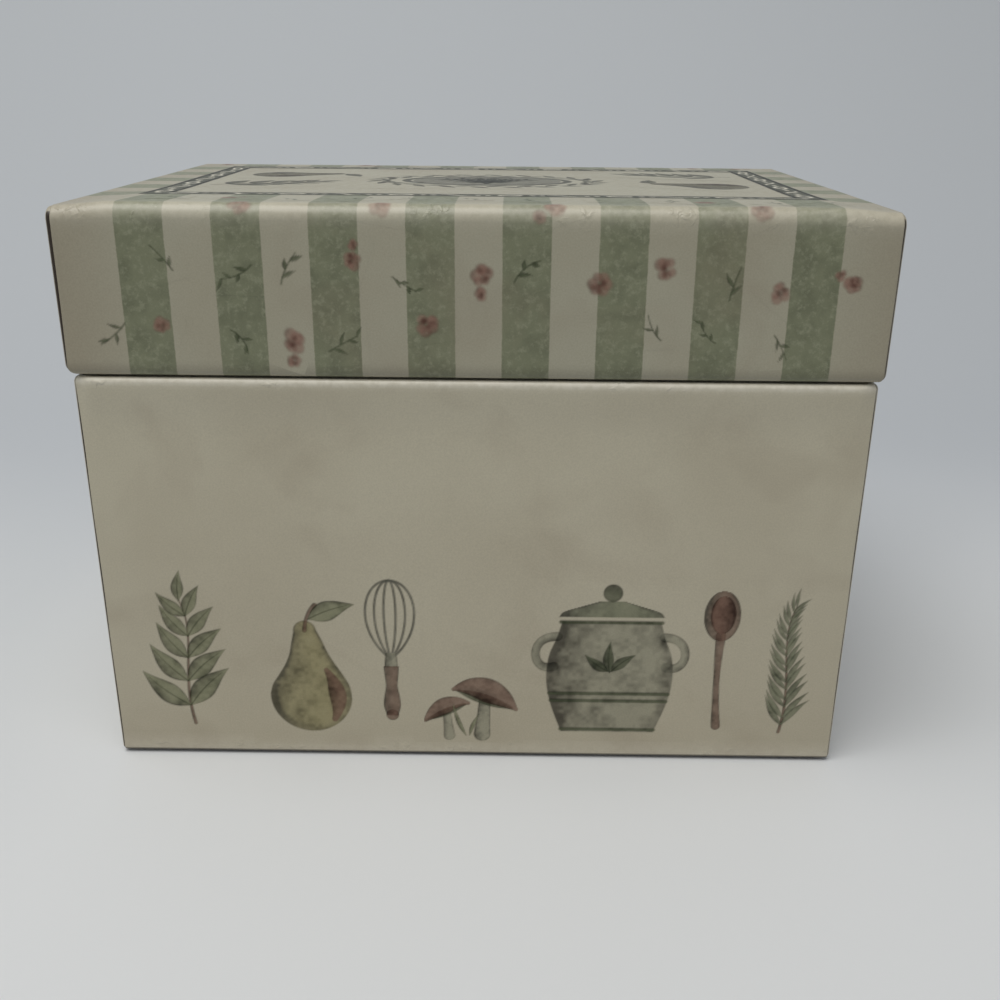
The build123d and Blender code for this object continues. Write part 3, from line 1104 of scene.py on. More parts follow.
@dataclass
class Canvas:
    """A patch of printed paper, and the ink on each point of its grid.

    A stroke is a line with a width at each place along it. A point lies in the stroke where its
    distance from the line is less than the width there. Strokes lie over each other as washes do:
    the colour that comes on top counts as much as it covers.

    tone scales how bright the pigments are. soft is how far an edge runs out, in millimetres.
    rim is the outer share of a stroke that counts as its edge. curved and bulge say how its shade
    grows away from the light. speckle is how much the paper's grain breaks the shade up, and
    thinning how much it thins the wash.
    """

    u: Array
    v: Array
    seed: int = 1
    tone: float = 1.0
    soft: float = 0.16
    rim: float = 0.26
    curved: float = 0.5
    bulge: float = 1.3
    speckle: float = 0.9
    thinning: float = 0.18
    colour: Array = field(init=False)
    cover: Array = field(init=False)

    def __post_init__(self) -> None:
        """Starts with no ink, and with the paper's own grain."""
        self.colour = np.full((self.u.size, 3), 0.3)
        self.cover = np.zeros(self.u.size)
        coarse = cloud(self.u, self.v, 2.3, self.seed)
        self.grain = 0.6 * coarse + 0.4 * cloud(self.u, self.v, 0.7, self.seed + 1)

    def stroke(
        self,
        line: Array,
        widths: list[float],
        pigment: Pigment,
        lit: float = -0.35,
        edge: float = 0.5,
        flat: bool = False,
    ) -> None:
        """Paints one stroke, paler towards the light and darker at its edges.

        Args:
            line: the stroke's middle line, one point a row.
            widths: half widths, evenly spaced from its start to its end.
            pigment: the wash.
            lit: where its palest place is, from -1 at its right edge to 1 at its left.
            edge: how much darker its edge is.
            flat: cut square at its ends, and not round.
        """
        reach = max(widths) + 3 * self.soft
        low, high = line.min(0) - reach, line.max(0) + reach
        near = (self.u > low[0]) & (self.u < high[0]) & (self.v > low[1]) & (self.v < high[1])
        at = np.flatnonzero(near)
        if not at.size:
            return
        start, run = line[:-1], np.diff(line, axis=0)
        length = np.maximum(np.hypot(*run.T), 1e-6)
        du = self.u[at, None] - start[:, 0]
        dv = self.v[at, None] - start[:, 1]
        share = (du * run[:, 0] + dv * run[:, 1]) / length**2
        held = np.clip(share, 0, 1)
        away = np.hypot(du - held * run[:, 0], dv - held * run[:, 1])
        best = away.argmin(1)
        row = np.arange(at.size)
        leftward = (run[best, 0] * dv[row, best] - run[best, 1] * du[row, best]) / length[best]
        walked = np.concatenate([[0], np.cumsum(length)])
        along = (walked[best] + held[row, best] * length[best]) / walked[-1]
        width = np.maximum(eased(along, widths), 1e-3)
        inside = width - away[row, best]
        if flat:
            past = np.maximum(-share[row, best], share[row, best] - 1) * length[best]
            inside = np.where((along <= 0) | (along >= 1), np.minimum(inside, -past), inside)
        cover = smooth((inside + self.soft) / (2 * self.soft))
        grain = self.grain[at]
        rim = smooth((away[row, best] / width - (1 - self.rim)) / self.rim)
        shade = self.curved * np.abs(leftward / width - lit) ** self.bulge + edge * rim
        shade = np.clip(shade + self.speckle * (grain - 0.5), 0, 1)[:, None]
        light, dark = (np.array(linear(end)[:3]) * self.tone for end in (pigment.light, pigment.dark))
        dense = np.minimum(pigment.density * (1 - self.thinning + self.thinning * grain), 1)
        self.wash(at, light * (1 - shade) + dark * shade, cover * dense)

    def wash(self, at: Array, colour: Array, cover: Array) -> None:
        """Lays a colour over what is there.

        Args:
            at: numbers of the points.
            colour: the colour at each.
            cover: how much it covers there, from 0 to 1.
        """
        below = self.cover[at] * (1 - cover)
        total = cover + below
        mixed = colour * cover[:, None] + self.colour[at] * below[:, None]
        self.colour[at] = np.where(total[:, None] > 1e-4, mixed / np.maximum(total, 1e-4)[:, None], colour)
        self.cover[at] = total

    def spot(self, u: float, v: float, radius: float, pigment: Pigment, **how: float) -> None:
        """Paints a round dab."""
        self.stroke(np.array([(u - 0.01, v), (u + 0.01, v)]), [radius], pigment, **how)

    def oval(self, u: float, v: float, wide: float, high: float, pigment: Pigment, **how: float) -> None:
        """Paints an upright oval, by its half width and half height.

        Args:
            u: its middle across.
            v: its middle upwards.
            wide: its half width.
            high: its half height.
            pigment: the wash.
            how: what stroke takes besides.
        """
        share = np.linspace(-1, 1, 41)
        widths = list(wide * np.sqrt(1 - share**2))
        self.stroke(np.array([(u, v - high), (u, v + high)]), widths, pigment, **how)

    def leaf(
        self, u: float, v: float, angle: float, length: float, width: float, pigment: Pigment
    ) -> None:
        """Paints a leaf from its foot, pointed at both ends, with a midrib.

        Args:
            u: place of its foot across.
            v: place of its foot upwards.
            angle: its direction in radians, anticlockwise from the right.
            length: from foot to tip.
            width: at its widest.
            pigment: the wash.
        """
        ahead = np.array([np.cos(angle), np.sin(angle)])
        left = np.array([-ahead[1], ahead[0]])
        foot = np.array([u, v])
        guides = [foot, foot + ahead * length * 0.5 + left * length * 0.1, foot + ahead * length]
        line = bezier([tuple(point) for point in guides], 14)
        half = width / 2
        self.stroke(line, [0.1, 0.75 * half, half, 0.8 * half, 0.4 * half, 0.02], pigment)
        if width > 1.6:
            self.stroke(line[:-2], [0.12, 0.1, 0.04], Pigment(pigment.dark, pigment.dark, 0.7))

    def ink(self) -> Array:
        """Colour and cover of each point, as the shader reads them."""
        return np.concatenate([self.colour, self.cover[:, None]], 1)


def sprig(
    canvas: Canvas,
    height: float,
    pairs: int,
    leaf: tuple[float, float],
    pigment: Pigment,
    lean: float = 2.0,
    open_angle: float = 0.75,
) -> None:
    """A stem that curves as it rises, with leaves on both sides that shorten towards its tip.

    Args:
        canvas: the patch that it is painted on.
        height: from foot to tip.
        pairs: how many pairs of leaves.
        leaf: length and width of the lowest ones.
        pigment: the wash of the leaves.
        lean: how far the stem bends aside.
        open_angle: how far the lowest leaves stand off it, in radians.
    """
    stem = bezier([(0, 0), (lean, height * 0.4), (-lean, height * 0.75), (lean * 0.4, height)], 40)
    canvas.stroke(stem, [0.35, 0.25, 0.12], WOOD)
    for number in range(pairs):
        share = (number + 0.8) / (pairs + 0.6)
        here = stem[int(share * (len(stem) - 1))]
        ahead = stem[min(int(share * (len(stem) - 1)) + 2, len(stem) - 1)] - here
        heading = np.arctan2(ahead[1], ahead[0] + 1e-6)
        size = 1 - 0.5 * share
        for hand in (-1, 1):
            turn = heading + hand * open_angle * (1 - 0.3 * share)
            canvas.leaf(*here, turn, leaf[0] * size, leaf[1] * size, pigment)
    canvas.leaf(*stem[-1], pi / 2 - 0.1, leaf[0] * 0.5, leaf[1] * 0.5, pigment)


def rosemary(canvas: Canvas) -> None:
    """A sprig of narrow leaves."""
    sprig(canvas, 30, 15, (8.5, 1.5), SAGE, 2.4, 0.62)


def bay(canvas: Canvas) -> None:
    """A sprig of broad leaves."""
    sprig(canvas, 27, 5, (12.5, 4.8), LEAF, -2.2, 0.85)


def pear(canvas: Canvas) -> None:
    """A pear: a round body that narrows to its neck, a bent stalk and one leaf.

    Args:
        canvas: the patch that it is painted on.
    """
    body = bezier([(0, 8.2), (0.4, 14), (-0.6, 22.5)], 30)
    canvas.stroke(body, [8.0, 7.5, 6.2, 4.8, 3.7, 3.0, 2.2], STRAW)
    canvas.stroke(bezier([(4.4, 3), (6.6, 8), (3.2, 14)]), [0.6, 1.7, 0.5], CLAY, edge=0.0)
    canvas.stroke(bezier([(-0.6, 22.6), (-0.4, 26), (1.6, 28)]), [0.45, 0.35, 0.5], WOOD)
    canvas.leaf(0.2, 25.0, 0.35, 9.5, 4.2, LEAF)


def crock(canvas: Canvas) -> None:
    """A lidded stoneware crock with two ear handles and painted bands.

    Args:
        canvas: the patch that it is painted on.
    """
    for hand in (-1, 1):
        ear = bezier([(hand * 9.5, 19.5), (hand * 15, 19.5), (hand * 14, 12), (hand * 10, 13.5)])
        canvas.stroke(ear, [0.9, 0.75, 0.9], STONE)
    body = np.array([(0, 0), (0, 22.5)], float)
    canvas.stroke(body, [8.4, 9.6, 10.6, 11.2, 11.3, 10.8, 9.6, 8.7], STONE, flat=True)
    for level, width in ((0.5, 8.5), (6.5, 10.4), (8.0, 10.7), (22.4, 8.9)):
        band = np.array([(-width, level), (width, level)], float)
        canvas.stroke(band, [0.35], DEEP, edge=0.1)
    canvas.stroke(np.array([(0, 23.4), (0, 26.5)]), [9.3, 8.4, 5.4, 2.2], SAGE, flat=True)
    canvas.spot(0, 28.1, 1.7, DEEP)
    for hand in (-1, 1):
        canvas.leaf(hand * 0.3, 12.6, pi / 2 - hand * 0.9, 5.4, 2.0, DEEP)
    canvas.leaf(0, 12.4, pi / 2, 6.2, 2.0, DEEP)


def whisk(canvas: Canvas) -> None:
    """A balloon whisk with a turned wooden handle.

    Args:
        canvas: the patch that it is painted on.
    """
    for width in (5.4, 3.4, 1.3):
        loop = bezier([(0, 15), (width * 1.5, 22), (width * 1.1, 34), (0, 34)], 30)
        for hand in (-1, 1):
            canvas.stroke(loop * np.array([hand, 1]), [0.27], WIRE, edge=0.1)
    canvas.stroke(np.array([(0, 13.0), (0, 16.5)]), [1.5, 1.2], STONE, flat=True)
    canvas.spot(0, 0.9, 1.4, WOOD)
    canvas.stroke(np.array([(0, 0.8), (0, 13.2)]), [1.3, 1.9, 1.7, 1.3, 1.5, 1.7], WOOD, flat=True)


def spoon(canvas: Canvas) -> None:
    """A wooden spoon seen from the front, its bowl uppermost.

    Args:
        canvas: the patch that it is painted on.
    """
    canvas.stroke(bezier([(0.6, 0), (-0.5, 12), (0, 24)]), [1.1, 0.85, 0.75, 0.9, 1.2], WOOD)
    canvas.oval(0, 29.0, 4.2, 6.4, WOOD)
    canvas.oval(0.2, 29.3, 2.9, 4.8, CLAY, lit=0.6, edge=0.7)


def mushroom(canvas: Canvas, u: float, v: float, size: float, tilt: float) -> None:
    """One mushroom: a tapered stalk, the gills' shadow, and a domed cap.

    Args:
        canvas: the patch that it is painted on.
        u: its foot across.
        v: its foot upwards.
        size: its scale.
        tilt: how far its top stands aside of its foot.
    """
    foot, top = np.array([u, v]), np.array([u + tilt * size, v + 9 * size])
    canvas.stroke(np.array([foot, top]), [1.9 * size, 1.5 * size, 1.3 * size], STONE)
    across = np.array([1.0, -tilt * 0.6]) * size
    gills = np.array([top - across * 6.0, top + across * 6.0])
    canvas.stroke(gills, [0.3, 1.1 * size, 1.3 * size, 1.1 * size, 0.3], DEEP, edge=0.1)
    dome = bezier([tuple(top - across * 7), tuple(top + np.array([0, 5.0 * size])), tuple(top + across * 7)])
    canvas.stroke(dome, [0.5, 2.3 * size, 3.1 * size, 2.3 * size, 0.5], CLAY, lit=0.4)


def mushrooms(canvas: Canvas) -> None:
    """Two mushrooms and two blades of grass.

    Args:
        canvas: the patch that they are painted on.
    """
    mushroom(canvas, 3.2, 0.5, 1.05, 0.6)
    mushroom(canvas, -4.6, 0, 0.72, -0.8)
    canvas.leaf(-0.6, 0, 1.9, 9.5, 1.1, LEAF)
    canvas.leaf(0.2, 0, 1.2, 6.5, 1.0, LEAF)


def blossom(canvas: Canvas) -> None:
    """A small rose of uneven petals with darker dabs at its heart; every third has a bud beside it.

    Args:
        canvas: the patch that it is painted on.
    """
    dice = np.random.default_rng(canvas.seed)
    canvas.soft = 0.34
    blooms = [(0.0, 0.0, 1.0), (3.0, 0.9, 0.6)] if canvas.seed % 3 == 0 else [(0.0, 0.0, 1.0)]
    heart = Pigment(ROSE.dark, ROSE.dark, 0.6)
    for u, v, size in blooms:
        for number in range(6):
            angle = number * 2 * pi / 6 + dice.uniform(-0.4, 0.4)
            reach = size * dice.uniform(0.8, 1.3)
            petal = size * dice.uniform(0.7, 1.05)
            place = u + reach * np.cos(angle), v + reach * np.sin(angle)
            canvas.spot(*place, petal, ROSE, lit=0.3, edge=0.15)
        for number in range(4):
            aside, above = dice.uniform(-0.9, 0.9, 2) * size
            canvas.spot(u + aside, v + above, 0.4 * size, heart)


def leaflets(canvas: Canvas) -> None:
    """A bent twig as thin as a hair, with two to four small leaves.

    Args:
        canvas: the patch that it is painted on.
    """
    dice = np.random.default_rng(canvas.seed)
    twig = bezier([(-2.6, -1.3), (-0.6, dice.uniform(-1, 1.5)), (2.6, 1.2)], 16)
    canvas.stroke(twig, [0.14, 0.1], DEEP, edge=0.1)
    for number in range(2 + canvas.seed % 3):
        foot = twig[3 + 4 * number]
        hand = 1 if number % 2 else -1
        length, width = dice.uniform(1.5, 2.6), dice.uniform(0.5, 0.85)
        canvas.leaf(*foot, 0.45 + hand * dice.uniform(0.5, 1.0), length, width, DEEP)


def wreath(canvas: Canvas) -> None:
    """An oval garland of leaves with small blossoms, round a framed oval with a bunch of herbs.

    Args:
        canvas: the patch that it is painted on.
    """
    wide, high = 27, 17
    angles = np.linspace(0, 2 * pi, 61)
    rim = np.stack([20.5 * np.cos(angles), 12.5 * np.sin(angles)], -1)
    canvas.stroke(np.array([(-9, 0), (9, 0)], float), [9.8, 11.8, 12.4, 11.8, 9.8], PANEL, lit=0, edge=0)
    canvas.stroke(rim, [1.1], DEEP, edge=0.2)
    for number in range(7):
        lean = (number - 3) * 0.42
        tip = 9.5 - 0.35 * (number - 3) ** 2
        stem = bezier([(0, -8.5), (lean * 1.5, -2), (lean * 9, tip - 2.0)], 24)
        canvas.stroke(stem, [0.5, 0.35, 0.2], DEEP)
        for step in range(6, 24, 3):
            for hand in (-1, 1):
                canvas.leaf(*stem[step], pi / 2 - lean * 0.8 + hand * 0.8, 4.2, 1.3, DEEP)
    leaves, roses = 44, 8
    for number in range(leaves):
        angle = number * 2 * pi / leaves
        u, v = wide * np.cos(angle), high * np.sin(angle)
        heading = np.arctan2(high * np.cos(angle), -wide * np.sin(angle))
        side = 0.55 if number % 2 else -0.55
        canvas.leaf(u, v, heading + side, 6.2, 2.3, LEAF if number % 3 else SAGE)
    for number in range(roses):
        angle = (number + 0.5) * 2 * pi / roses
        canvas.spot(wide * np.cos(angle), high * np.sin(angle), 1.1, ROSE)


def border_band(canvas: Canvas) -> None:
    """One stretch of the band round the top: rings and waves in turn, with dots, between two rules.

    Args:
        canvas: the patch that it is painted on.
    """
    usual = 12.4
    length = canvas.u.max() - canvas.u.min()
    half = length / 2 + 2
    rule = np.array([(-half, 0), (half, 0)], float)
    canvas.stroke(rule, [3.0], BAND, lit=0, edge=0.0)
    for level in (-2.7, 2.7):
        canvas.stroke(rule + np.array([0, level]), [0.5], RULE, edge=0)
    repeats = max(int(round(length / usual)), 1)
    pitch = length / repeats
    for number in range(repeats):
        middle = -length / 2 + (number + 0.5) * pitch
        if number % 2:
            guides = [(-3.6, 1.2), (-0.6, 2.6), (0.6, -2.6), (3.6, -1.2)]
            wave = bezier([(middle + aside, above) for aside, above in guides])
            canvas.stroke(wave, [0.15, 0.4, 0.15], BARE, edge=0)
        else:
            ring = [(middle + 2.4 * np.cos(a), 1.2 * np.sin(a)) for a in np.linspace(0, 2 * pi, 25)]
            canvas.stroke(np.array(ring), [0.36], BARE, edge=0)
            canvas.spot(middle, 0, 0.5, RULE, edge=0)
        for hand in (-1, 1):
            canvas.spot(middle + pitch / 2 + hand * 1.1, 0, 0.6, BARE, edge=0)


class Motif(Enum):
    """What is printed, with the size of the patch of paper that holds it, and its foot's height in it."""

    ROSEMARY = (rosemary, 20, 38, 2)
    BAY = (bay, 26, 38, 2)
    PEAR = (pear, 24, 36, 3)
    CROCK = (crock, 32, 33, 2)
    WHISK = (whisk, 14, 38, 2)
    SPOON = (spoon, 12, 38, 2)
    MUSHROOMS = (mushrooms, 26, 20, 2)
    BLOSSOM = (blossom, 9.6, 6.4, 3.2)
    LEAFLETS = (leaflets, 9, 8, 4)
    WREATH = (wreath, 70, 48, 24)


@dataclass(frozen=True)
class Spot:
    """Where a motif goes: the place of its foot on the sheet, its turn in radians, and its scale."""

    motif: Motif
    across: float
    along: float
    turn: float = 0.0
    scale: float = 1.0


@dataclass
class Printer:
    """Prints motifs on a sheet, as fine patches of the same paper that carry the ink.

    lift is the height over the paper. The patches of a piece rise by up to as much again, one
    over the other, so that none cuts into its neighbour. fine and coarse are the distances
    between a patch's points, where the camera sees it and elsewhere.
    """

    tray: Tray
    finish: PrintedPaper
    lift: float = 0.012
    tone: float = 1.0
    fine: float = 0.3
    coarse: float = 0.4

    def patch(
        self, size: tuple[float, float], foot: float, spacing: float
    ) -> tuple[Array, Array, Array]:
        """A flat grid of points round a motif's foot, and its faces.

        Args:
            size: width and height of the patch.
            foot: height of the motif's foot over the patch's lower edge.
            spacing: distance between its points.

        Returns:
            u, v, and the faces.
        """
        columns, rows = (int(round(length / spacing)) + 1 for length in size)
        u = np.linspace(-size[0] / 2, size[0] / 2, columns)
        v = np.linspace(-foot, size[1] - foot, rows)
        return np.tile(u, rows), np.repeat(v, columns), grid_faces(rows, columns)

    def print(self, name: str, spots: list[Spot], surface: Surface, spacing: float) -> None:
        """Prints motifs as one piece.

        Args:
            name: the piece's name.
            spots: the motifs and their places.
            surface: turns distances across and along the sheet into places, directions and wear.
            spacing: distance between the points of the patches.
        """
        patches = []
        for number, spot in enumerate(spots):
            paint, width, height, foot = spot.motif.value
            u, v, cells = self.patch((width, height), foot, spacing / spot.scale)
            canvas = Canvas(u, v, seed=number + 1, tone=self.tone)
            paint(canvas)
            turn = np.array([np.cos(spot.turn), np.sin(spot.turn)]) * spot.scale
            across = spot.across + u * turn[0] - v * turn[1]
            along = spot.along + u * turn[1] + v * turn[0]
            placed, facing, wear_and_highlight = surface(across, along)
            placed = placed + facing * self.lift * (number % 5) / 4 * MM
            patches.append((placed, turned_out(placed, cells, facing), canvas.ink(), wear_and_highlight))
        self.add_piece(name, patches)

    def add_piece(self, name: str, patches: list[tuple[Array, Array, Array, Array]]) -> None:
        """Makes one piece of several printed patches, each its places, faces, ink and wear.

        Args:
            name: the piece's name.
            patches: places, faces, ink and wear of each patch.
        """
        places, faces, inks, wear_and_highlight = zip(*patches)
        first = np.cumsum([0, *(len(points) for points in places)])
        joined = np.concatenate([cells + start for cells, start in zip(faces, first)])
        attributes = {"ink": np.concatenate(inks), "wear_and_highlight": np.concatenate(wear_and_highlight)}
        piece = make_piece(name, np.concatenate(places), joined, self.finish.material, attributes)
        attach(piece, self.tray.body)
        LOG.info("%s: %d faces", name, len(piece.data.polygons))

    def on_cover(self, across: Array, far: Array) -> tuple[Array, Array, Array]:
        """The cover paper, by the distance along its walk, with the paper's own paling from rubbing and
        painted highlight.
        """
        return (*self.tray.cover_face(across, far, self.lift), self.tray.wear_and_highlight(far))

    def on_front(self, across: Array, height: Array) -> tuple[Array, Array, Array]:
        """The front face, by the height over the floor.

        Args:
            across: distances from the middle, across.
            height: heights over the floor.

        Returns:
            Places in metres, outward directions, and wear.
        """
        tray = self.tray
        w = (height - tray.open_z) * tray.up
        return self.on_cover(across, tray.cover.ends[2] + w - tray.roll)

    def on_back(self, across: Array, height: Array) -> tuple[Array, Array, Array]:
        """The back face, by the height over the floor, as somebody behind the box sees it.

        Args:
            across: distances from the middle, to the right as seen from behind.
            height: heights over the floor.

        Returns:
            Places in metres, outward directions, and wear.
        """
        tray = self.tray
        w = (height - tray.open_z) * tray.up
        return self.on_cover(-across, tray.cover.ends[7] - w + tray.roll)

    def on_top(self, across: Array, depth: Array) -> tuple[Array, Array, Array]:
        """The closed end, by the distance from the front face, and on round both bends."""
        return self.on_cover(across, self.tray.cover.ends[4] + depth - self.tray.bend)

    def on_side(self, side: Side) -> Surface:
        """A side face, by the distance from its middle as seen from there, and the height.

        Args:
            side: which face.

        Returns:
            The surface, as print takes it.
        """

        def surface(across: Array, height: Array) -> tuple[Array, Array, Array]:
            """This side face, with no wear.

            Args:
                across: distances from the middle, to the right.
                height: heights over the floor.

            Returns:
                Places in metres, outward directions, and wear.
            """
            tray = self.tray
            y = (tray.front + tray.back) / 2 + side.value * across
            w = (height - tray.open_z) * tray.up
            return (*tray.side_face(side.value, y, w, self.lift), np.zeros_like(y))

        return surface


@dataclass
class BasePrint(Printer):
    """The kitchen motifs round the lower part of the base."""

    foot: float = 7.5
    fine: float = 0.25
    lifts: tuple[float, float] = (0.02, 0.012)

    def build(self) -> None:
        """Prints each large motif of the front as its own piece, and the others in groups."""
        front = [
            (Motif.BAY, -66.5, 1.0, 1.2),
            (Motif.PEAR, -38.5, -1.0, 1.2),
            (Motif.WHISK, -19.5, 3.0, 1.06),
            (Motif.MUSHROOMS, -1.5, -1.5, 1.0),
            (Motif.CROCK, 31.3, 0.0, 1.3),
            (Motif.SPOON, 56.4, 2.0, 1.0),
            (Motif.ROSEMARY, 72.0, 0.5, 1.1),
        ]
        for number, (motif, across, raised, scale) in enumerate(front):
            spots = [Spot(motif, across, self.foot + raised, scale=scale)]
            name = f"front_print_{motif.name.lower()}"
            printer = Printer(self.tray, self.finish, self.lifts[number % 2], self.tone)
            printer.print(name, spots, printer.on_front, self.fine)
        for side, motifs in (
            (Side.LEFT, [Motif.ROSEMARY, Motif.CROCK, Motif.BAY]),
            (Side.RIGHT, [Motif.SPOON, Motif.PEAR, Motif.MUSHROOMS]),
        ):
            places = zip(motifs, (-34.0, 0.0, 34.0))
            spots = [Spot(motif, across, self.foot) for motif, across in places]
            name = f"{side.name.lower()}_side_print"
            self.print(name, spots, self.on_side(side), self.coarse)
        back = [(Motif.SPOON, -58.0), (Motif.BAY, -20.0), (Motif.PEAR, 20.0), (Motif.WHISK, 58.0)]
        spots = [Spot(motif, across, self.foot) for motif, across in back]
        self.print("back_print", spots, self.on_back, self.coarse)


@dataclass
class LidPrint(Printer):
    """What is printed over the lid's stripes: small flowers, the top's border, and what it frames.

    left, right, near and far are the outer limits of the border, which is band wide. clear is how
    far the flowers on the walls keep from their sides, the rim and the bend. bend_blossoms are
    the places of the larger blossoms on the bend over the front. cell is the room for a flower.
    """

    left: float = -74.0
    right: float = 76.0
    near: float = 22.5
    far: float = 110.5
    band: float = 6.4
    band_spacing: float = 0.35
    border_lift: float = 0.03
    garland_tone: float = 0.19
    clear: tuple[float, float, float] = (5.0, 4.0, 7.0)
    bend_blossoms: tuple[float, ...] = (-47.0, -19.0, 16.0, 57.0)
    cell: tuple[float, float] = (12.0, 10.0)

    def build(self) -> None:
        """Prints the scattered flowers, the border and the ornaments inside it."""
        tray = self.tray
        from_side, from_rim, from_bend = self.clear
        wide, low, high = tray.half_width - from_side, tray.open_z + from_rim, tray.closed_z - from_bend
        front, back = (self.scatter(-wide, wide, low, high, seed) for seed in (177, 32))
        self.print("lid_front_blossoms", front, self.on_front, self.fine)
        self.print("lid_back_blossoms", back, self.on_back, self.coarse)
        margin = [Spot(Motif.BLOSSOM, across, 1.5, across, 1.2) for across in self.bend_blossoms]
        for start, end, seed in ((7, self.near - 4, 33), (self.far + 5, tray.depth - 4, 34)):
            margin += self.scatter(-wide, wide, start, end, seed)
        self.print("lid_top_blossoms", margin, self.on_top, self.fine)
        deep = tray.depth / 2 - from_side
        for side in Side:
            spots = self.scatter(-deep, deep, low, high, 36 + side.value)
            name = f"lid_{side.name.lower()}_blossoms"
            self.print(name, spots, self.on_side(side), self.coarse)
        middle = (self.left + self.right) / 2
        centre = (self.near + self.far) / 2
        top = [
            Spot(Motif.WREATH, middle, centre),
            Spot(Motif.BAY, middle - 66, centre - 17, -1.15),
            Spot(Motif.PEAR, middle + 64, centre - 13, 1.15),
            Spot(Motif.PEAR, middle - 63, centre + 14, -1.4),
            Spot(Motif.BAY, middle + 65, centre + 19, 1.3),
        ]
        printer = Printer(tray, self.finish, tone=self.garland_tone)
        printer.print("top_print_garlands", top, printer.on_top, self.fine)
        self.border(Printer(tray, self.finish, self.border_lift))

    def scatter(self, left: float, right: float, low: float, high: float, seed: int) -> list[Spot]:
        """Blossoms and leaflets strewn over a field, one to each cell of an uneven lattice.

        Args:
            left: the field's left limit.
            right: its right limit.
            low: its lower limit.
            high: its upper limit.
            seed: picks the places.

        Returns:
            The motifs and their places.
        """
        dice = np.random.default_rng(seed)
        columns = max(int((right - left) / self.cell[0]), 1)
        rows = max(int((high - low) / self.cell[1]), 1)
        wide, tall = (right - left) / columns, (high - low) / rows
        spots = []
        for column in range(columns):
            for row in range(rows):
                jog = dice.uniform(0.25, 0.75, 2)
                kind = dice.choice([0, 1, 2], p=[0.34, 0.50, 0.16])
                if kind == 2:
                    continue
                motif = (Motif.BLOSSOM, Motif.LEAFLETS)[kind]
                across, along = left + (column + jog[0]) * wide, low + (row + jog[1]) * tall
                spots.append(Spot(motif, across, along, dice.uniform(0, 2 * pi), dice.uniform(0.9, 1.3)))
        return spots

    def border(self, printer: Printer) -> None:
        """The band round the top: four stretches whose ends are cut at 45 degrees.

        Args:
            printer: lays the band over the stripes and the flowers.
        """
        half = self.band / 2
        middle = ((self.left + self.right) / 2, (self.near + self.far) / 2)
        size = ((self.right - self.left) / 2, (self.far - self.near) / 2)
        patches = []
        for quarter in range(4):
            long, deep = size if quarter % 2 == 0 else size[::-1]
            columns = int(2 * long / self.band_spacing) + 1
            rows = int(self.band / self.band_spacing) + 1
            v = np.repeat(np.linspace(-half, half, rows), columns)
            share = np.tile(np.linspace(-1, 1, columns), rows)
            u = share * (long - half - v)
            canvas = Canvas(share * (long - half), v, seed=60 + quarter)
            border_band(canvas)
            turn = quarter * pi / 2
            out = -(deep - half) + v
            across = middle[0] + u * np.cos(turn) - out * np.sin(turn)
            along = middle[1] + u * np.sin(turn) + out * np.cos(turn)
            placed, facing, wear_and_highlight = printer.on_top(across, along)
            faces = turned_out(placed, grid_faces(rows, columns), facing)
            patches.append((placed, faces, canvas.ink(), wear_and_highlight))
        printer.add_piece("top_print_border", patches)


@dataclass
class HingeStrip:
    """The cloth strip that joins lid and base at the back, in one piece across the gap."""

    finish: BookCloth
    thickness: float = 0.36
    fall: float = 0.3
    eased: float = 0.6
    bend_over: float = 0.1

    def build(self) -> None:
        """A grid of places across and up; its face falls to the paper as a quarter circle at its edges."""
        low, below = (np.array(end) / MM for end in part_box("hinge_base_leaf"))
        above, high = (np.array(end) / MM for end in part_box("hinge_lid_leaf"))
        gap = (below[2], above[2])
        x = spread([low[0], low[0] + self.eased, high[0] - self.eased, high[0]], [4, 60, 4])
        z = spread([low[2], low[2] + self.eased, *gap, high[2] - self.eased, high[2]], [4, 12, 10, 12, 4])
        across, up = (a.ravel() for a in np.meshgrid(x, z))
        edge = np.minimum.reduce([across - x[0], x[-1] - across, up - z[0], z[-1] - up])
        rounded = np.sqrt(1 - (1 - np.clip(edge / self.eased, 0, 1)) ** 2)
        face = high[1] - self.fall * (1 - rounded)
        points = np.stack([across, face, up], -1) * MM
        outward = np.tile([0.0, 1.0, 0.0], (across.size, 1))
        faces = turned_out(points, grid_faces(z.size, x.size), outward)
        piece = make_piece("hinge_cloth_strip", points, faces, self.finish.material)
        thicken(piece, self.thickness)
        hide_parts("hinge_base_leaf", "hinge_lid_leaf")
        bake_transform(piece)


@dataclass
class Linings:
    """The boards, linings and divider cards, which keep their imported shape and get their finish."""

    board: PlainStock
    lining: PlainStock
    underside: PlainStock
    cards: list[PlainStock]

    def build(self) -> None:
        """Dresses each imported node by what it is."""
        for name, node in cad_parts.items():
            if name.endswith("_board"):
                self.board.dress(node)
            elif name.startswith("divider_card"):
                number = int(name.rsplit("_", 1)[1])
                self.cards[number % len(self.cards)].dress(node)
            elif name == "underside_sheet":
                self.underside.dress(node)
            elif name.startswith("neck") or name in ("floor_pad", "lid_lining"):
                self.lining.dress(node)
            else:
                continue
            LOG.info("%s: %s", name, node.data.materials[0].name)


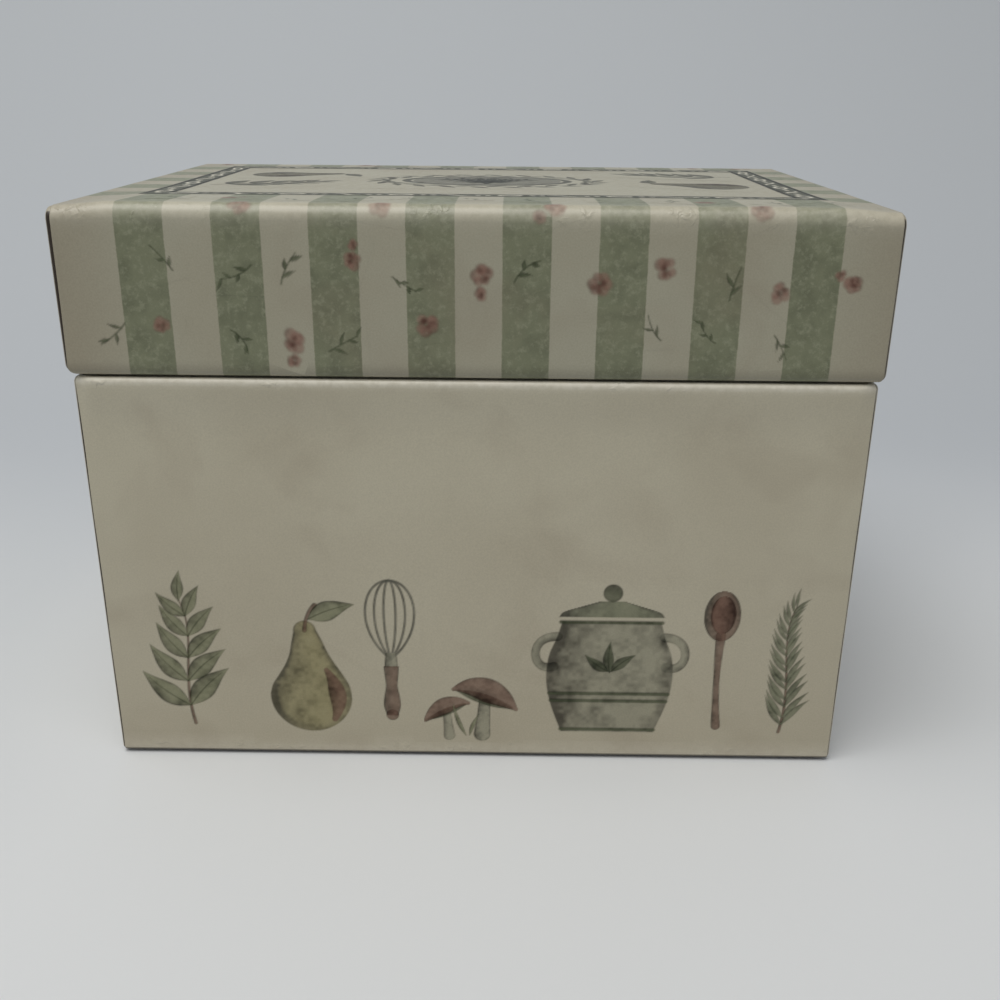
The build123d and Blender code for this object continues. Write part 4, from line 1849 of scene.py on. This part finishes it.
@dataclass
class Studio:
    """The floor sheet, one soft lamp under an even sky, and the camera.

    The camera's place is in millimetres and its turns are in degrees; the other sizes are metres.
    """

    finish: StudioSheet
    lens: float = 39.13
    sensor: float = 36.0
    place: tuple[float, float, float] = (7.27, -282.29, 151.56)
    yaw: float = 0.459
    pitch: float = 21.013
    roll: float = 0.489
    half_floor: float = 1.6
    floor_front: float = -1.4
    floor_back: float = 0.22
    sweep: float = 0.5
    wall_top: float = 1.3
    key_place: tuple[float, float, float] = (-0.26, -0.38, 1.25)
    key_aim: tuple[float, float, float] = (0.0, 0.0, 0.06)
    key_size: tuple[float, float] = (1.0, 0.85)
    key_power: float = 11.4
    sky: float = 0.34

    def build(self) -> None:
        """Sets up everything that isn't the box."""
        self.sheet()
        self.lamps()
        self.camera()

    def sheet(self) -> None:
        """A flat floor that turns up behind the box in a quarter circle, carried across X."""
        angle = np.linspace(0, pi / 2, 25)
        floor = np.linspace(self.floor_front, self.floor_back, 12)
        y = [floor, self.floor_back + self.sweep * np.sin(angle)]
        z = [np.zeros_like(floor), self.sweep * (1 - np.cos(angle))]
        y.append(np.full(4, self.floor_back + self.sweep))
        z.append(np.linspace(self.sweep, self.wall_top, 4))
        profile_y, profile_z = np.concatenate(y), np.concatenate(z)
        x = np.linspace(-self.half_floor, self.half_floor, 9)
        across = np.tile(x, profile_y.size)
        points = np.stack([across, np.repeat(profile_y, x.size), np.repeat(profile_z, x.size)], -1)
        outward = np.array([0, -0.2, 1.0]) * np.ones_like(points)
        faces = turned_out(points, grid_faces(profile_y.size, x.size), outward)
        piece = make_piece("studio_sheet", points, faces, self.finish.material)
        weld(piece, 0.1 * MM)

    def lamps(self) -> None:
        """A broad lamp above, a little in front and to the left, and an even pale sky."""
        lamp = bpy.data.lights.new("overhead", "AREA")
        lamp.shape = "RECTANGLE"
        lamp.size, lamp.size_y = self.key_size
        lamp.energy = self.key_power
        lamp.color = linear("FFFDF8")[:3]
        hung = bpy.data.objects.new("overhead", lamp)
        bpy.context.scene.collection.objects.link(hung)
        hung.location = self.key_place
        toward = Vector(self.key_aim) - Vector(self.key_place)
        hung.rotation_euler = toward.to_track_quat("-Z", "Y").to_euler()
        world = bpy.data.worlds.new("pale_room")
        world.use_nodes = True
        world.node_tree.nodes.clear()
        glow = add(world.node_tree, "Background", linear("F4F7FB"), self.sky)
        add(world.node_tree, "OutputWorld", glow)
        bpy.context.scene.world = world

    def camera(self) -> None:
        """The camera where the photograph was taken from: turned, tipped down and rolled a little."""
        yaw, pitch, roll = np.radians([self.yaw, self.pitch, self.roll])
        right = np.array([np.cos(yaw), np.sin(yaw), 0])
        ahead = np.array([-np.sin(yaw) * np.cos(pitch), np.cos(yaw) * np.cos(pitch), -np.sin(pitch)])
        above = np.cross(right, ahead)
        tilted = np.cos(roll) * right + np.sin(roll) * above
        upward = np.cross(tilted, ahead)
        taken = bpy.data.cameras.new("photo_camera")
        taken.lens = self.lens
        taken.sensor_width = self.sensor
        taken.clip_start = 0.01
        camera = bpy.data.objects.new("photo_camera", taken)
        bpy.context.scene.collection.objects.link(camera)
        turned = Matrix(np.stack([tilted, upward, -ahead], 1).tolist()).to_4x4()
        camera.matrix_world = Matrix.Translation(np.array(self.place) * MM) @ turned
        bpy.context.scene.camera = camera


def main() -> None:
    """Builds the box's looks and the studio, and reports each part."""
    logging.basicConfig(level=logging.INFO, format="%(name)s %(message)s")
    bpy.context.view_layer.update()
    bpy.context.scene.view_settings.view_transform = "Standard"

    lid = Tray(
        "lid",
        "lid",
        bend=2.8,
        rim_corner=(2.2, 1.4),
        left_seam=(0.75, 1.3),
        right_seam=(0.6, 0.7),
        brow=0.9,
        # Painted shade along the lid's lower rim.
        rim_painted_shade=0.25,
    )
    base = Tray(
        "base",
        "base",
        bend=1.2,
        rim_corner=(1.0, 0.8),
        left_seam=(0.75, 0.75),
        right_seam=(0.65, 0.6),
        lip=1.2,
        # Painted highlight along the base's rim, with some rubbing.
        rim_wear_and_highlight=0.98,
        # Painted shade on the base's bottom bends and underside.
        bend_painted_shade=0.7,
    )
    stripes = {
        "half_width": lid.half_width,
        "front": lid.front,
        "back": lid.back,
        "top": lid.closed_z,
    }
    striped = StripedPaper("striped_satin_paper", "printed_paper", **stripes)
    striped_inked = StripedPaper("striped_satin_paper_with_print", "printed_paper", inked=True, **stripes)
    tones = {"cream": "C1BAA4", "aged_and_foot_shade": "A89E88"}
    cream = PrintedPaper("cream_satin_paper", "printed_paper", **tones)
    cream_inked = PrintedPaper("cream_satin_paper_with_print", "printed_paper", inked=True, **tones)
    cloth = BookCloth("starched_book_cloth", "hinge_cloth")
    board = PlainStock(
        "grey_board", "grey_board", "8F8A80", "78736A", fibre=0.8, patch=6.0, relief=0.05
    )
    lining = PlainStock("laid_lining_paper", "lining_paper", "CBC5B4", "BDB6A3")
    underside = PlainStock("kraft_underside_card", "lining_paper", "8D7F68", "7A6D58")
    tints = (("C6BFA9", "B5AE98"), ("AEB39F", "9DA28D"), ("C2AC9E", "B09A8C"), ("C4BC94", "B2AA82"))
    cards = [
        PlainStock(f"divider_card_stock_{number}", "divider_stock", pale, deep)
        for number, (pale, deep) in enumerate(tints)
    ]

    Studio(StudioSheet("matt_studio_sheet", "")).build()
    PaperedTray(base, cream).build()
    PaperedTray(lid, striped).build()
    HingeStrip(cloth).build()
    Linings(board, lining, underside, cards).build()
    BasePrint(base, cream_inked, tone=0.70).build()
    LidPrint(lid, striped_inked).build()


if __name__ == "__main__":
    main()
